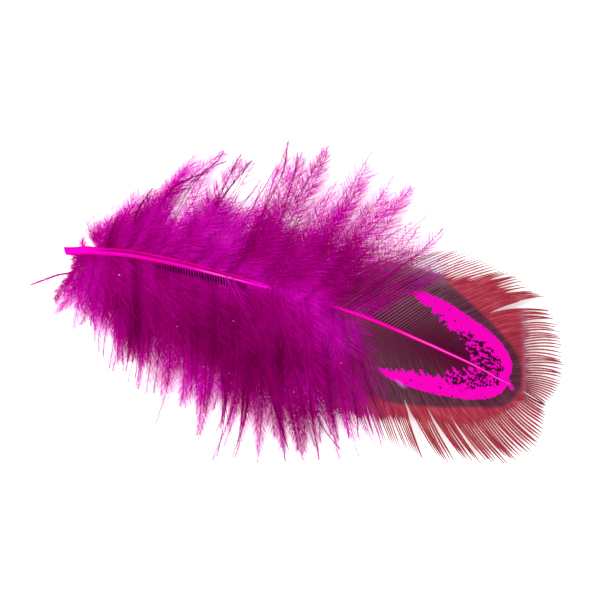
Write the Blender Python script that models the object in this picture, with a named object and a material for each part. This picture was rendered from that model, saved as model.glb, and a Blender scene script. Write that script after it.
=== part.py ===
"""A dyed pheasant body feather that lies on a surface with its upper side up.

It grew as one piece: a tapered shaft with a cut quill end, loose locks of down along the lower half
of the shaft, and a flat vane with splits around the outer half. Lengths are in millimetres. u runs
along the feather from the quill's cut end to the vane's tip, v across it and z up.
"""
import math

import bpy
import bmesh
from mathutils import Vector

MM = 0.001

# Shaft stations: u, v, height of the centre line, radius.
SHAFT = [
    (0.0, 0.0, 0.62, 0.44),
    (2.5, 0.8, 0.80, 0.50),
    (7.8, 1.95, 1.30, 0.49),
    (14.2, 2.55, 1.95, 0.46),
    (20.7, 2.8, 2.50, 0.34),
    (30.4, 3.0, 2.75, 0.24),
    (38.7, 2.75, 2.60, 0.21),
    (47.0, 1.8, 2.30, 0.19),
    (52.5, 1.0, 2.05, 0.15),
    (57.6, 0.0, 1.75, 0.09),
]
SHAFT_STEPS = 2
SHAFT_ROUNDNESS = 2

# Locks of down: root u on the shaft, a point halfway, the tip, and the full width, all in u and v.
UPPER_SIDE_LOCKS = [
    (3.2, (2.9, 2.7), (1.5, 4.6), 0.9),
    (4.2, (3.8, 4.0), (3.8, 6.6), 1.7),
    (5.7, (5.8, 4.9), (6.1, 8.6), 2.2),
    (7.1, (7.7, 6.9), (8.3, 10.4), 2.4),
    (9.2, (10.0, 9.4), (12.1, 15.6), 2.5),
    (10.6, (11.2, 10.6), (15.2, 17.1), 2.4),
    (12.7, (15.6, 9.9), (17.5, 17.7), 2.2),
    (14.6, (17.4, 11.2), (19.1, 17.4), 2.2),
    (17.2, (20.1, 10.6), (21.6, 15.8), 2.6),
    (19.6, (22.0, 10.6), (22.6, 20.8), 2.4),
    (21.6, (24.0, 11.6), (24.6, 20.1), 2.6),
    (23.7, (25.8, 12.6), (27.8, 21.9), 2.6),
    (25.7, (27.9, 10.7), (29.1, 17.3), 2.4),
    (27.6, (30.6, 12.6), (32.9, 22.3), 2.8),
    (29.7, (33.6, 12.0), (36.4, 20.3), 2.6),
    (31.4, (35.6, 12.6), (38.7, 20.1), 2.8),
    (33.0, (38.2, 10.9), (41.8, 17.8), 2.4),
    (34.6, (40.4, 10.3), (44.6, 16.7), 1.8),
]
LOWER_SIDE_LOCKS = [
    (2.7, (1.5, -2.1), (-3.0, -5.4), 0.5),
    (3.1, (2.5, -3.1), (1.2, -7.2), 2.0),
    (3.9, (3.7, -3.7), (3.8, -7.7), 2.2),
    (5.1, (5.5, -3.8), (6.6, -8.6), 2.2),
    (6.6, (8.2, -5.1), (9.4, -11.7), 2.4),
    (8.0, (10.3, -5.9), (11.6, -12.4), 2.4),
    (9.4, (12.2, -5.9), (13.1, -13.3), 2.4),
    (10.9, (14.2, -6.0), (15.8, -12.8), 2.4),
    (12.4, (16.0, -7.6), (17.1, -16.7), 2.2),
    (13.9, (17.4, -6.5), (18.6, -13.6), 2.4),
    (15.5, (19.0, -6.5), (21.3, -14.8), 2.6),
    (17.4, (21.2, -7.4), (22.7, -17.4), 2.4),
    (19.2, (23.2, -7.4), (24.5, -14.8), 2.6),
    (20.9, (24.6, -7.9), (25.3, -18.8), 2.2),
    (22.5, (26.2, -7.6), (27.4, -18.4), 2.4),
    (24.2, (27.7, -7.3), (29.8, -16.8), 2.6),
    (26.0, (29.4, -6.9), (33.0, -16.1), 2.8),
    (27.8, (31.7, -6.9), (35.0, -15.1), 2.8),
    (29.6, (33.6, -6.7), (37.0, -14.7), 2.8),
    (31.4, (35.5, -6.7), (39.5, -13.7), 2.6),
    (33.2, (37.4, -6.2), (41.3, -12.9), 2.4),
]
LOCK_RINGS = 5
LOCK_SIDES = 6
LOCK_WIDTHS = [0.52, 1.10, 1.25, 1.00, 0.12]
LOCK_ROOT_DROP = 0.12
# A lock narrower than this is thinner by the same share.
FULL_THICKNESS_WIDTH = 2.0
# A lying lock: its centre line's share of the root's height, and its half thickness, root to tip.
LYING_HEIGHTS = [1.00, 0.58, 0.36, 0.24, 0.16]
LYING_THICKNESS = [0.22, 0.85, 0.92, 0.58, 0.06]
# A raised lock lies on top of two lying ones: its rise above its root, and its half thickness.
RAISED_RISES = [0.00, 0.72, 0.72, 0.30, -0.60]
RAISED_THICKNESS = [0.18, 0.64, 0.66, 0.44, 0.06]
RAISED_REACH = 0.80
RAISED_WIDTH = 0.90

# Vane barbs: root u on the shaft and the barb's tip in u and v, from the first barb to the last.
UPPER_RIM = [
    (33.6, (45.4, 13.8)),
    (38.0, (49.5, 13.9)),
    (42.5, (53.8, 12.9)),
    (47.0, (58.9, 10.9)),
    (50.5, (61.2, 8.1)),
    (53.6, (62.7, 4.7)),
    (56.2, (63.4, 1.7)),
    (57.5, (62.3, -1.2)),
]
LOWER_RIM = [
    (33.6, (43.2, -11.8)),
    (38.8, (49.3, -11.5)),
    (43.3, (55.4, -10.6)),
    (46.0, (59.1, -9.6)),
    (49.3, (61.3, -8.0)),
    (52.7, (63.0, -5.5)),
    (56.0, (62.6, -2.6)),
    (57.5, (62.3, -1.2)),
]
# Splits in the vane: root u of the barbs beside it, the share of their length where it starts, its
# half width at the rim, and how far along the shaft the barbs beside it are pushed together.
UPPER_SPLITS = [(47.0, 0.47, 0.75, 1.6)]
LOWER_SPLITS = [(38.9, 0.55, 0.95, 1.5), (41.5, 0.50, 0.55, 1.2), (43.9, 0.52, 0.25, 1.0)]
SPLIT_EDGE = 0.15
VANE_STATIONS = 13
# No even station stands nearer to a split than this share of their step.
SPLIT_CLEARANCE = 1 / 3
# Rows of faces along a barb, and those of them that lie before the start of a split.
VANE_ROWS = 4
ROWS_BEFORE_SPLIT = 2
# Where the rows part on a barb without a split beside it.
VANE_MIDDLE = 0.5
VANE_THICKNESS = 0.34
VANE_BOW = 0.14
VANE_DROOP = 1.15
VANE_HALF_WIDTH = 13.0

# The underside is flat where the down lies on the surface.
UNDERSIDE_CUT_DEPTH = 4.0
CUT_MARGIN = 10.0


def interpolate(stations, x):
    """The values of a smooth curve through stations at x, which runs with their first number."""
    last = len(stations) - 1
    i = 0
    while i < last - 1 and stations[i + 1][0] < x:
        i += 1
    before, a, b, after = (stations[min(max(k, 0), last)] for k in (i - 1, i, i + 1, i + 2))
    t = (x - a[0]) / (b[0] - a[0])
    return [
        0.5 * (2 * q + (r - p) * t + (2 * p - 5 * q + 4 * r - s) * t**2 + (3 * q - p - 3 * r + s) * t**3)
        for p, q, r, s in zip(before[1:], a[1:], b[1:], after[1:])
    ]


def shaft_point(u):
    """The centre of the shaft at u, and its radius there."""
    v, z, radius = interpolate(SHAFT, u)
    return Vector((u, v, z)), radius


def bowed(start, middle, end, t):
    """The point at t on the parabola from start through middle to end."""
    control = 2 * middle - (start + end) / 2
    return start * (1 - t) ** 2 + control * 2 * t * (1 - t) + end * t**2


def new_object(name, bm, collection):
    """An object in metres from a bmesh in millimetres."""
    bmesh.ops.scale(bm, vec=(MM, MM, MM), verts=bm.verts)
    bmesh.ops.recalc_face_normals(bm, faces=bm.faces)
    mesh = bpy.data.meshes.new(name)
    bm.to_mesh(mesh)
    bm.free()
    obj = bpy.data.objects.new(name, mesh)
    collection.objects.link(obj)
    return obj


def make_guide(obj):
    """Marks an object as one that only shapes another."""
    obj.hide_render = True
    obj.display_type = "WIRE"


def make_shaft(collection):
    """The quill and rachis: a round tapered tube along the shaft stations."""
    stations = []
    for (a, *_), (b, *_) in zip(SHAFT, SHAFT[1:]):
        stations += [a + (b - a) * k / SHAFT_STEPS for k in range(SHAFT_STEPS)]
    stations.append(SHAFT[-1][0])
    curve = bpy.data.curves.new("shaft_line", "CURVE")
    curve.dimensions = "3D"
    curve.bevel_depth = MM
    curve.bevel_resolution = SHAFT_ROUNDNESS
    curve.use_fill_caps = True
    spline = curve.splines.new("POLY")
    spline.points.add(len(stations) - 1)
    for point, u in zip(spline.points, stations):
        centre, radius = shaft_point(u)
        point.co = (*(centre * MM), 1.0)
        point.radius = radius
    line = bpy.data.objects.new("shaft_line", curve)
    collection.objects.link(line)
    mesh = bpy.data.meshes.new_from_object(line.evaluated_get(bpy.context.evaluated_depsgraph_get()))
    bm = bmesh.new()
    bm.from_mesh(mesh)
    bmesh.ops.remove_doubles(bm, verts=bm.verts, dist=0.001 * MM)
    bmesh.ops.scale(bm, vec=(1 / MM, 1 / MM, 1 / MM), verts=bm.verts)
    bpy.data.objects.remove(line)
    bpy.data.meshes.remove(mesh)
    return new_object("feather", bm, collection)


def loft(rings):
    """A closed bmesh through rings of as many points each, with a flat face on both ends."""
    bm = bmesh.new()
    loops = [[bm.verts.new(point) for point in ring] for ring in rings]
    for loop_a, loop_b in zip(loops, loops[1:]):
        for k in range(len(loop_a)):
            following = (k + 1) % len(loop_a)
            bm.faces.new((loop_a[k], loop_a[following], loop_b[following], loop_b[k]))
    bm.faces.new(loops[0])
    bm.faces.new(loops[-1])
    return bm


def lock_rings(centres, widths, thicknesses):
    """Flat rings across the line of a lock, with a ridge above and below and upright sides."""
    rings = []
    for k, centre in enumerate(centres):
        ahead = centres[min(k + 1, len(centres) - 1)]
        behind = centres[max(k - 1, 0)]
        along = (ahead - behind).normalized()
        across = Vector((-along.y, along.x, 0)).normalized()
        upward = along.cross(across)
        if upward.z < 0:
            upward = -upward
        turns = [math.tau * (s + 0.5) / LOCK_SIDES for s in range(LOCK_SIDES)]
        rings.append([
            centre
            + across * (widths[k] * math.cos(turn) / math.cos(turns[0]))
            + upward * (thicknesses[k] * math.sin(turn))
            for turn in turns
        ])
    return rings


def make_lock(name, lock, raised, collection):
    """One tapered lock of down from the shaft to its tip, lying on the surface or raised above."""
    root_u, middle, tip, width = lock
    root, radius = shaft_point(root_u)
    reach = RAISED_REACH if raised else 1.0
    scale = RAISED_WIDTH if raised else 1.0
    centres = []
    for k in range(LOCK_RINGS):
        t = reach * k / (LOCK_RINGS - 1)
        point = bowed(root.xy, Vector(middle), Vector(tip), t)
        if raised:
            z = root.z - LOCK_ROOT_DROP + RAISED_RISES[k]
        else:
            z = (root.z - LOCK_ROOT_DROP) * LYING_HEIGHTS[k]
        centres.append(Vector((point.x, point.y, z)))
    thin = min(1.0, width / FULL_THICKNESS_WIDTH)
    widths = [share * scale * width / 2 for share in LOCK_WIDTHS]
    heights = [thin * h for h in (RAISED_THICKNESS if raised else LYING_THICKNESS)]
    make_guide(new_object(name, loft(lock_rings(centres, widths, heights)), collection))


def halfway_lock(lock, following):
    """A lock between two neighbours, for the raised layer that lies over their gap."""
    root_u, middle, tip, width = lock
    next_root_u, next_middle, next_tip, next_width = following
    return (
        (root_u + next_root_u) / 2,
        (Vector(middle) + Vector(next_middle)) / 2,
        (Vector(tip) + Vector(next_tip)) / 2,
        (width + next_width) / 2,
    )


def split_shift(root_u, share, splits):
    """How far the splits push a barb sideways, towards the vane's tip, at a share of its length."""
    shift = 0.0
    for split_u, start, half_width, pushed in splits:
        nearness = 1.0 - abs(root_u - split_u) / pushed
        opened = (share - start) / (1.0 - start)
        if nearness > 0 and opened > 0:
            shift += math.copysign(half_width * nearness * opened, root_u - split_u)
    return shift


def vane_point(root_u, rim, splits, share):
    """A point on the vane's barb that leaves the shaft at root_u, at a share of its length."""
    root, _ = shaft_point(root_u)
    tip = Vector(interpolate([(u, *point) for u, point in rim], root_u))
    run = tip - root.xy
    sideways = Vector((-run.y, run.x)).normalized()
    if sideways.x < 0:
        sideways = -sideways
    middle = root.xy + run / 2 - sideways * (VANE_BOW * run.length)
    flat = bowed(root.xy, middle, tip, share) + sideways * split_shift(root_u, share, splits)
    out = (flat - root.xy).length / VANE_HALF_WIDTH
    return Vector((flat.x, flat.y, root.z + VANE_THICKNESS / 2 - VANE_DROOP * out**2))


def vane_stations():
    """Root stations of the vane's columns: even steps, and one on each side of every split."""
    first, last = UPPER_RIM[0][0], UPPER_RIM[-1][0]
    step = (last - first) / VANE_STATIONS
    splits = [split[0] for split in UPPER_SPLITS + LOWER_SPLITS]
    even = [first + step * k for k in range(VANE_STATIONS + 1)]
    stations = [u for u in even if all(abs(u - split) > step * SPLIT_CLEARANCE for split in splits)]
    for split in splits:
        stations += [split - SPLIT_EDGE, split + SPLIT_EDGE]
    return sorted(stations)


def make_vane(collection):
    """The vane: one thin arched sheet on both sides of the shaft, with its splits."""
    bm = bmesh.new()
    stations = vane_stations()
    roots = [bm.verts.new(shaft_point(u)[0]) for u in stations]
    terminal = None
    for rim, splits in ((UPPER_RIM, UPPER_SPLITS), (LOWER_RIM, LOWER_SPLITS)):
        grid = []
        for u, root in zip(stations, roots):
            beside = [split for split in splits if math.isclose(abs(u - split[0]), SPLIT_EDGE)]
            start = beside[0][1] if beside else VANE_MIDDLE
            shares = (start / 2, start, (1 + start) / 2, 1.0)
            if u == stations[-1] and terminal:
                grid.append((terminal, beside))
            else:
                barb = [root] + [bm.verts.new(vane_point(u, rim, splits, share)) for share in shares]
                grid.append((barb, beside))
        terminal = grid[-1][0]
        for (a, split_a), (b, split_b) in zip(grid, grid[1:]):
            open_end = split_a and split_a == split_b
            for k in range(ROWS_BEFORE_SPLIT if open_end else VANE_ROWS):
                bm.faces.new((a[k], a[k + 1], b[k + 1], b[k]))
    lower_face = bmesh.ops.extrude_face_region(bm, geom=bm.faces[:])["geom"]
    lowered = [item for item in lower_face if isinstance(item, bmesh.types.BMVert)]
    bmesh.ops.translate(bm, vec=(0, 0, -VANE_THICKNESS), verts=lowered)
    make_guide(new_object("vane", bm, collection))


def make_cutter(collection):
    """A box under the surface that the feather lies on."""
    bm = bmesh.new()
    bmesh.ops.create_cube(bm, size=1.0)
    length = SHAFT[-1][0] + 2 * CUT_MARGIN
    bmesh.ops.scale(bm, vec=(2 * length, 2 * length, UNDERSIDE_CUT_DEPTH), verts=bm.verts)
    bmesh.ops.translate(bm, vec=(length / 2, 0, -UNDERSIDE_CUT_DEPTH / 2), verts=bm.verts)
    cutter = new_object("surface_cutter", bm, collection)
    make_guide(cutter)
    return cutter


def shells_of(bm):
    """The bmesh's faces in groups that hang together along edges, the largest group first."""
    found, seen = [], set()
    for face in bm.faces:
        if face in seen:
            continue
        seen.add(face)
        shell, waiting = [], [face]
        while waiting:
            current = waiting.pop()
            shell.append(current)
            for neighbour in (other for edge in current.edges for other in edge.link_faces):
                if neighbour not in seen:
                    seen.add(neighbour)
                    waiting.append(neighbour)
        found.append(shell)
    return sorted(found, key=len, reverse=True)


def apply_and_fill_pockets(obj):
    """Applies the Booleans and fills the specks of air they leave where locks cross."""
    mesh = bpy.data.meshes.new_from_object(obj.evaluated_get(bpy.context.evaluated_depsgraph_get()))
    bm = bmesh.new()
    bm.from_mesh(mesh)
    bmesh.ops.triangulate(bm, faces=bm.faces)
    for pocket in shells_of(bm)[1:]:
        bmesh.ops.delete(bm, geom=pocket, context="FACES")
    bm.to_mesh(mesh)
    bm.free()
    obj.modifiers.clear()
    obj.data = mesh


def keratin():
    """Magenta-dyed keratin: a soft sheen and no metal."""
    material = bpy.data.materials.new("dyed_keratin")
    material.use_nodes = True
    shader = material.node_tree.nodes["Principled BSDF"]
    shader.inputs["Base Color"].default_value = (0.38, 0.004, 0.21, 1.0)
    shader.inputs["Roughness"].default_value = 0.55
    shader.inputs["Metallic"].default_value = 0.0
    return material


def stand_on_origin(obj):
    """Places the object so that the middle of its box's underside is the origin."""
    points = [vertex.co for vertex in obj.data.vertices]
    low = Vector(min(point[axis] for point in points) for axis in range(3))
    high = Vector(max(point[axis] for point in points) for axis in range(3))
    obj.location = (-(low.x + high.x) / 2, -(low.y + high.y) / 2, -low.z)


def build():
    for obj in list(bpy.data.objects):
        bpy.data.objects.remove(obj)
    part = bpy.data.collections.new("pheasant_feather")
    growth = bpy.data.collections.new("growth_guides")
    cutters = bpy.data.collections.new("cutters")
    for collection in (part, growth, cutters):
        bpy.context.scene.collection.children.link(collection)

    feather = make_shaft(part)
    for side, locks in (("upper", UPPER_SIDE_LOCKS), ("lower", LOWER_SIDE_LOCKS)):
        for k, lock in enumerate(locks):
            make_lock(f"{side}_lock_{k:02d}", lock, False, growth)
        for k in range(1, len(locks) - 1):
            raised = halfway_lock(locks[k], locks[k + 1])
            make_lock(f"{side}_raised_lock_{k:02d}", raised, True, growth)
    make_vane(growth)

    union = feather.modifiers.new("grown_together", "BOOLEAN")
    union.operation = "UNION"
    union.operand_type = "COLLECTION"
    union.collection = growth
    union.solver = "MANIFOLD"
    trim = feather.modifiers.new("lying_flat", "BOOLEAN")
    trim.operation = "DIFFERENCE"
    trim.object = make_cutter(cutters)
    apply_and_fill_pockets(feather)
    feather.data.materials.clear()
    feather.data.materials.append(keratin())
    stand_on_origin(feather)


build()
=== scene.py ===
"""Looks of a pheasant body feather, dyed magenta, that lies on a pale surface and is seen from above.

Lengths are in millimetres. u runs along the feather from the quill's cut end to the vane's tip, v
across it and z up, as in the part's source. They become metres in the row frame when a mesh is made.
The locks of down follow the photo more closely than the part's, so some end 1 or 2 mm beside those.
"""
import math

import bpy
import numpy as np
from mathutils import Matrix, Vector


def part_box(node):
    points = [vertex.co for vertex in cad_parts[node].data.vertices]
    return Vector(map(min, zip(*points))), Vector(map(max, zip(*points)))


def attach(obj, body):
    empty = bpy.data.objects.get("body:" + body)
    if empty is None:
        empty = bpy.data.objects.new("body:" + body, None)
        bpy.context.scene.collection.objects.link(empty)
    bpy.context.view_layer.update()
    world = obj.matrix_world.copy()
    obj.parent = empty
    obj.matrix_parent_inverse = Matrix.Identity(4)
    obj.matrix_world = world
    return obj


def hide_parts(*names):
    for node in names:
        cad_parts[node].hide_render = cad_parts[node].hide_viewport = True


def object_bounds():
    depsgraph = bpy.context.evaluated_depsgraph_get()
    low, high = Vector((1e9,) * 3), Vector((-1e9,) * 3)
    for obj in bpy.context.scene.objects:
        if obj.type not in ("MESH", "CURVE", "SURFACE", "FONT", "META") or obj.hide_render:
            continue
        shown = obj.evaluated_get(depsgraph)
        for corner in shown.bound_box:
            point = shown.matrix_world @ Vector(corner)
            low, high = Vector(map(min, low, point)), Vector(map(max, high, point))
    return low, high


MM = 0.001
SEED = 11

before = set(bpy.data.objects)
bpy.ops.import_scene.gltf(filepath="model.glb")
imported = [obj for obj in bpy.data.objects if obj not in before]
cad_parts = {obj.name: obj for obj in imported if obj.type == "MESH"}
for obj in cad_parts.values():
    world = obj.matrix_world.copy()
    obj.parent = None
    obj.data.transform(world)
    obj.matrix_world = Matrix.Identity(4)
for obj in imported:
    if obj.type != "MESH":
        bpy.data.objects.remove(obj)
CAD_LOW, CAD_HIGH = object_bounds()

# Where the part's box begins in u and v.
LOWEST_U, LOWEST_V = -3.02, -18.80

# Shaft stations: u, v, height of the centre line, radius.
SHAFT = [
    (0.0, 0.0, 0.62, 0.44),
    (2.5, 0.8, 0.80, 0.50),
    (7.8, 1.95, 1.30, 0.49),
    (14.2, 2.55, 1.95, 0.46),
    (20.7, 2.8, 2.50, 0.34),
    (30.4, 3.0, 2.75, 0.24),
    (38.7, 2.75, 2.60, 0.24),
    (47.0, 1.8, 2.30, 0.215),
    (52.5, 1.0, 2.05, 0.16),
    (57.6, 0.0, 1.75, 0.09),
]
SHAFT_END = 57.6

# Locks of down: root u on the shaft, a point halfway and the tip, in u and v.
UPPER_SIDE_LOCKS = [
    (4.6, (4.3, 4.0), (4.3, 7.2)),
    (5.7, (5.8, 4.9), (6.0, 9.3)),
    (7.1, (7.7, 6.9), (8.3, 10.4)),
    (9.2, (10.0, 9.4), (12.1, 15.6)),
    (10.6, (11.2, 10.6), (15.2, 17.1)),
    (12.7, (15.6, 9.9), (17.5, 17.7)),
    (14.6, (17.4, 11.2), (19.1, 17.4)),
    (17.2, (20.1, 10.6), (21.6, 15.8)),
    (19.6, (22.0, 10.6), (22.6, 20.8)),
    (21.6, (24.0, 11.6), (24.6, 20.1)),
    (23.7, (25.8, 12.6), (27.8, 21.9)),
    (25.7, (27.9, 10.7), (29.1, 17.3)),
    (27.6, (30.6, 12.6), (32.9, 22.3)),
    (28.5, (31.3, 12.8), (32.9, 20.6)),
    (29.9, (33.8, 12.0), (36.4, 20.3)),
    (31.4, (35.6, 12.6), (38.7, 20.1)),
    (33.0, (38.2, 10.9), (41.8, 17.8)),
    (34.6, (40.4, 10.3), (44.6, 16.7)),
]
LOWER_SIDE_LOCKS = [
    (2.4, (1.7, -2.8), (0.9, -6.2)),
    (3.1, (2.3, -3.4), (1.0, -7.9)),
    (3.9, (3.6, -3.8), (3.6, -9.0)),
    (5.1, (5.5, -4.0), (6.6, -9.9)),
    (5.9, (6.9, -4.5), (8.2, -11.2)),
    (6.6, (8.2, -5.1), (9.7, -12.4)),
    (8.0, (10.3, -5.9), (11.8, -13.0)),
    (9.4, (12.2, -5.9), (13.4, -13.8)),
    (10.2, (13.2, -5.9), (14.5, -13.6)),
    (10.9, (14.2, -6.0), (15.7, -13.6)),
    (12.4, (16.0, -7.6), (17.1, -16.7)),
    (13.9, (17.4, -6.5), (19.2, -14.0)),
    (14.8, (18.3, -6.5), (20.1, -14.8)),
    (15.7, (19.2, -6.5), (21.3, -15.0)),
    (17.4, (21.2, -7.4), (22.7, -17.4)),
    (19.2, (23.2, -7.4), (24.5, -14.8)),
    (20.9, (24.6, -7.9), (25.3, -18.8)),
    (22.5, (26.2, -7.6), (27.4, -18.4)),
    (24.2, (27.7, -7.3), (30.2, -17.6)),
    (26.0, (29.4, -6.9), (33.4, -17.0)),
    (27.8, (31.7, -6.9), (35.5, -16.0)),
    (29.6, (33.6, -6.7), (37.6, -15.7)),
    (31.4, (35.5, -6.7), (40.2, -14.7)),
    (33.2, (37.4, -6.2), (42.0, -13.8)),
]
# Thin last barbs of the down, over the beginning of the vane.
UPPER_SIDE_WISPS = [(36.0, (41.2, 8.6), (46.6, 13.9)), (37.4, (42.0, 7.4), (47.6, 12.6))]
LOWER_SIDE_WISPS = [(34.6, (39.0, -5.4), (43.2, -11.6)), (36.0, (40.6, -3.4), (44.4, -8.4))]

# Vane barbs: root u on the shaft and the barb's tip in u and v, from the first barb to the last.
UPPER_RIM = [
    (30.0, (41.2, 12.2)),
    (33.6, (45.2, 13.6)),
    (38.0, (49.5, 13.9)),
    (42.5, (53.8, 12.9)),
    (47.0, (58.9, 10.9)),
    (50.5, (61.2, 8.1)),
    (53.6, (62.7, 4.7)),
    (56.2, (63.4, 1.7)),
    (57.5, (62.3, -1.2)),
]
LOWER_RIM = [
    (30.0, (36.5, -8.6)),
    (33.6, (42.4, -10.9)),
    (38.8, (49.3, -11.5)),
    (43.3, (55.4, -10.6)),
    (46.0, (59.1, -9.6)),
    (49.3, (61.3, -8.0)),
    (52.7, (63.0, -5.5)),
    (56.0, (62.6, -2.6)),
    (57.5, (62.3, -1.2)),
]
# Splits in the vane: root u of the barbs beside it, the share of their length where it starts, its
# half width at the rim, and how far along the shaft the barbs beside it are pushed together.
UPPER_SPLITS = [
    (47.0, 0.50, 0.80, 2.0), (49.5, 0.66, 0.34, 0.8), (42.4, 0.70, 0.14, 0.6), (52.6, 0.74, 0.10, 0.5),
]
LOWER_SPLITS = [
    (34.6, 0.62, 0.22, 0.5), (35.9, 0.66, 0.18, 0.5), (37.3, 0.66, 0.20, 0.5), (39.8, 0.52, 0.85, 1.5),
    (42.3, 0.52, 0.45, 1.1), (44.4, 0.52, 0.30, 0.9), (46.1, 0.66, 0.12, 0.5), (49.9, 0.50, 0.12, 0.5),
    (52.6, 0.45, 0.14, 0.5),
]


def smooth_through(stations, x):
    """The values of a smooth curve through stations at each x, which runs with their first number."""
    table = np.array(stations, float)
    x = np.asarray(x, float)
    last = len(table) - 1
    i = np.searchsorted(table[1:-1, 0], x)
    before, a, b, after = (table[np.clip(i + k, 0, last)] for k in (-1, 0, 1, 2))
    t = ((x - a[..., 0]) / (b[..., 0] - a[..., 0]))[..., None]
    p, q, r, s = (row[..., 1:] for row in (before, a, b, after))
    return 0.5 * (2 * q + (r - p) * t + (2 * p - 5 * q + 4 * r - s) * t**2 + (3 * q - p - 3 * r + s) * t**3)


def shaft_at(u):
    """The points of the shaft's centre line at each u."""
    return np.concatenate([u[..., None], smooth_through(SHAFT, u)[..., :2]], -1)


def bowed(start, middle, end, t):
    """The points at t on the parabola from start through middle to end."""
    control = 2 * middle - (start + end) / 2
    return start * (1 - t) ** 2 + control * 2 * t * (1 - t) + end * t**2


def unit(vectors):
    return vectors / np.maximum(np.linalg.norm(vectors, axis=-1, keepdims=True), 1e-9)


def smoothstep(low, high, x):
    t = np.clip((x - low) / (high - low), 0, 1)
    return t * t * (3 - 2 * t)


def hump(x, place, width):
    """1 where x is at the place, falling off on both sides over the width."""
    return np.exp(-(((x - place) / width) ** 2))


def soft_spots(spots, points):
    """The sum of soft round spots at each point in u and v."""
    total = np.zeros(points.shape[:-1])
    for u, v, radius, amount in spots:
        away = (points[..., 0] - u) ** 2 + (points[..., 1] - v) ** 2
        total += amount * np.exp(-away / radius**2)
    return total


def distance_to_line(line, points):
    """Distance of each point from an open line."""
    best = np.full(len(points), np.inf)
    for start, end in zip(np.array(line, float), np.array(line[1:], float)):
        edge = end - start
        t = np.clip((points - start) @ edge / (edge @ edge), 0, 1)
        best = np.minimum(best, np.linalg.norm(points - start - t[:, None] * edge, axis=1))
    return best


def signed_distance(outline, points):
    """Distance of each point from a closed outline, positive inside it."""
    inside = np.zeros(len(points), bool)
    for (au, av), (bu, bv) in zip(outline, outline[1:] + outline[:1]):
        if av != bv:
            crosses = (av > points[:, 1]) != (bv > points[:, 1])
            inside ^= crosses & (points[:, 0] < (bu - au) * (points[:, 1] - av) / (bv - av) + au)
    away = distance_to_line(outline + outline[:1], points)
    return np.where(inside, away, -away)


def to_row(points):
    """u, v and z in millimetres as the row frame's metres."""
    low = np.array(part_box("feather")[0])
    return points * MM + np.array([low[0] - LOWEST_U * MM, low[1] - LOWEST_V * MM, 0.0])


def make_piece(name, material, points, triangles, values):
    """A piece from arrays: its points, its triangles and its named values for each point."""
    mesh = bpy.data.meshes.new(name)
    mesh.vertices.add(len(points))
    mesh.vertices.foreach_set("co", to_row(points).astype(np.float32).ravel())
    mesh.loops.add(triangles.size)
    mesh.loops.foreach_set("vertex_index", triangles.astype(np.int32).ravel())
    mesh.polygons.add(len(triangles))
    mesh.polygons.foreach_set("loop_start", np.arange(0, triangles.size, 3, dtype=np.int32))
    mesh.polygons.foreach_set("use_smooth", np.ones(len(triangles), bool))
    mesh.update(calc_edges=True)
    for key, numbers in values.items():
        layer = mesh.attributes.new(key, "FLOAT", "POINT")
        layer.data.foreach_set("value", numbers.astype(np.float32).ravel())
    flat = (points[:, :2] - (LOWEST_U, LOWEST_V)) * MM / (CAD_HIGH.x - CAD_LOW.x)
    bake_map = mesh.uv_layers.new(name="OFBake")
    bake_map.data.foreach_set("uv", flat[triangles.ravel()].astype(np.float32).ravel())
    mesh.validate()
    mesh.materials.append(material)
    piece = bpy.data.objects.new(name, mesh)
    bpy.context.scene.collection.objects.link(piece)
    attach(piece, "root")
    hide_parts("feather")


class Strands:
    """Collects swept strands as arrays of points and triangles."""

    def __init__(self):
        self.points, self.triangles, self.values, self.count = [], [], {}, 0

    def add(self, rings, triangles, **values):
        """Adds strands with the same pattern of triangles. rings holds strand, point and axis."""
        strands, size, _ = rings.shape
        offsets = self.count + size * np.arange(strands)[:, None, None]
        self.triangles.append((triangles[None] + offsets).reshape(-1, 3))
        self.points.append(rings.reshape(-1, 3))
        for key, numbers in values.items():
            self.values.setdefault(key, []).append(np.broadcast_to(numbers, (strands, size)).ravel())
        self.count += strands * size

    def make(self, name, slot, material):
        """Makes one piece of all that was added."""
        values = {key: np.concatenate(parts) for key, parts in self.values.items()}
        points, triangles = np.concatenate(self.points), np.concatenate(self.triangles)
        make_piece(name, material, points, triangles, values)


def capped_tube_triangles(rings, sides):
    """Triangles of a tube through rings of points, with its two ends closed by fans."""
    found = []
    for ring in range(rings - 1):
        for side in range(sides):
            a, b = ring * sides + side, ring * sides + (side + 1) % sides
            found += [(a, b, b + sides), (a, b + sides, a + sides)]
    last = (rings - 1) * sides
    for side in range(1, sides - 1):
        found += [(0, side + 1, side), (last, last + side, last + side + 1)]
    return np.array(found)


def frames_along(centres):
    """Unit tangents along each line of centres, and the sideways and upward directions there."""
    tangents = unit(np.gradient(centres, axis=-2))
    sideways = unit(np.cross([0.0, 0.0, 1.0], tangents))
    return tangents, sideways, np.cross(tangents, sideways)


# Materials

# How bright the light falls on the down, the vane and the shaft.
DOWN_LIGHT, VANE_LIGHT, SHAFT_LIGHT = 0.95, 1.08, 1.12
# The tone of dust on the down. Barbs have tones from 0 to 1.
DUST = 1.4
PATCH_SCALE, PATCH_SWING = 260.0, 0.5

# The vane's noises: scale across and along the barbs, and detail.
STREAKS, RAGGED, BLOTS = (0.9, 0.35, 2.0), (0.7, 0.35, 1.0), (0.42, 2.3, 1.0)
# Where one of the vane's colours passes into the next, and how far noise shifts that.
FRAYED_FADE, HAZY_FADE = (0.4, -0.6), (1.9, -0.5)
DARK_FADE, DARK_SWING = (-0.35, 0.25), 0.5
BAND_FADE, BAND_SWING, RAGGED_SWING = (-0.05, 0.07), 0.35, 3.4
BLOT_FADE, BLOT_SWING = (0.42, 0.54), 2.4

GRAIN_SCALE, GRAIN_HEIGHT = (120.0, 1500.0, 1500.0), 0.02
TABLE_GLOW = 0.40


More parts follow.
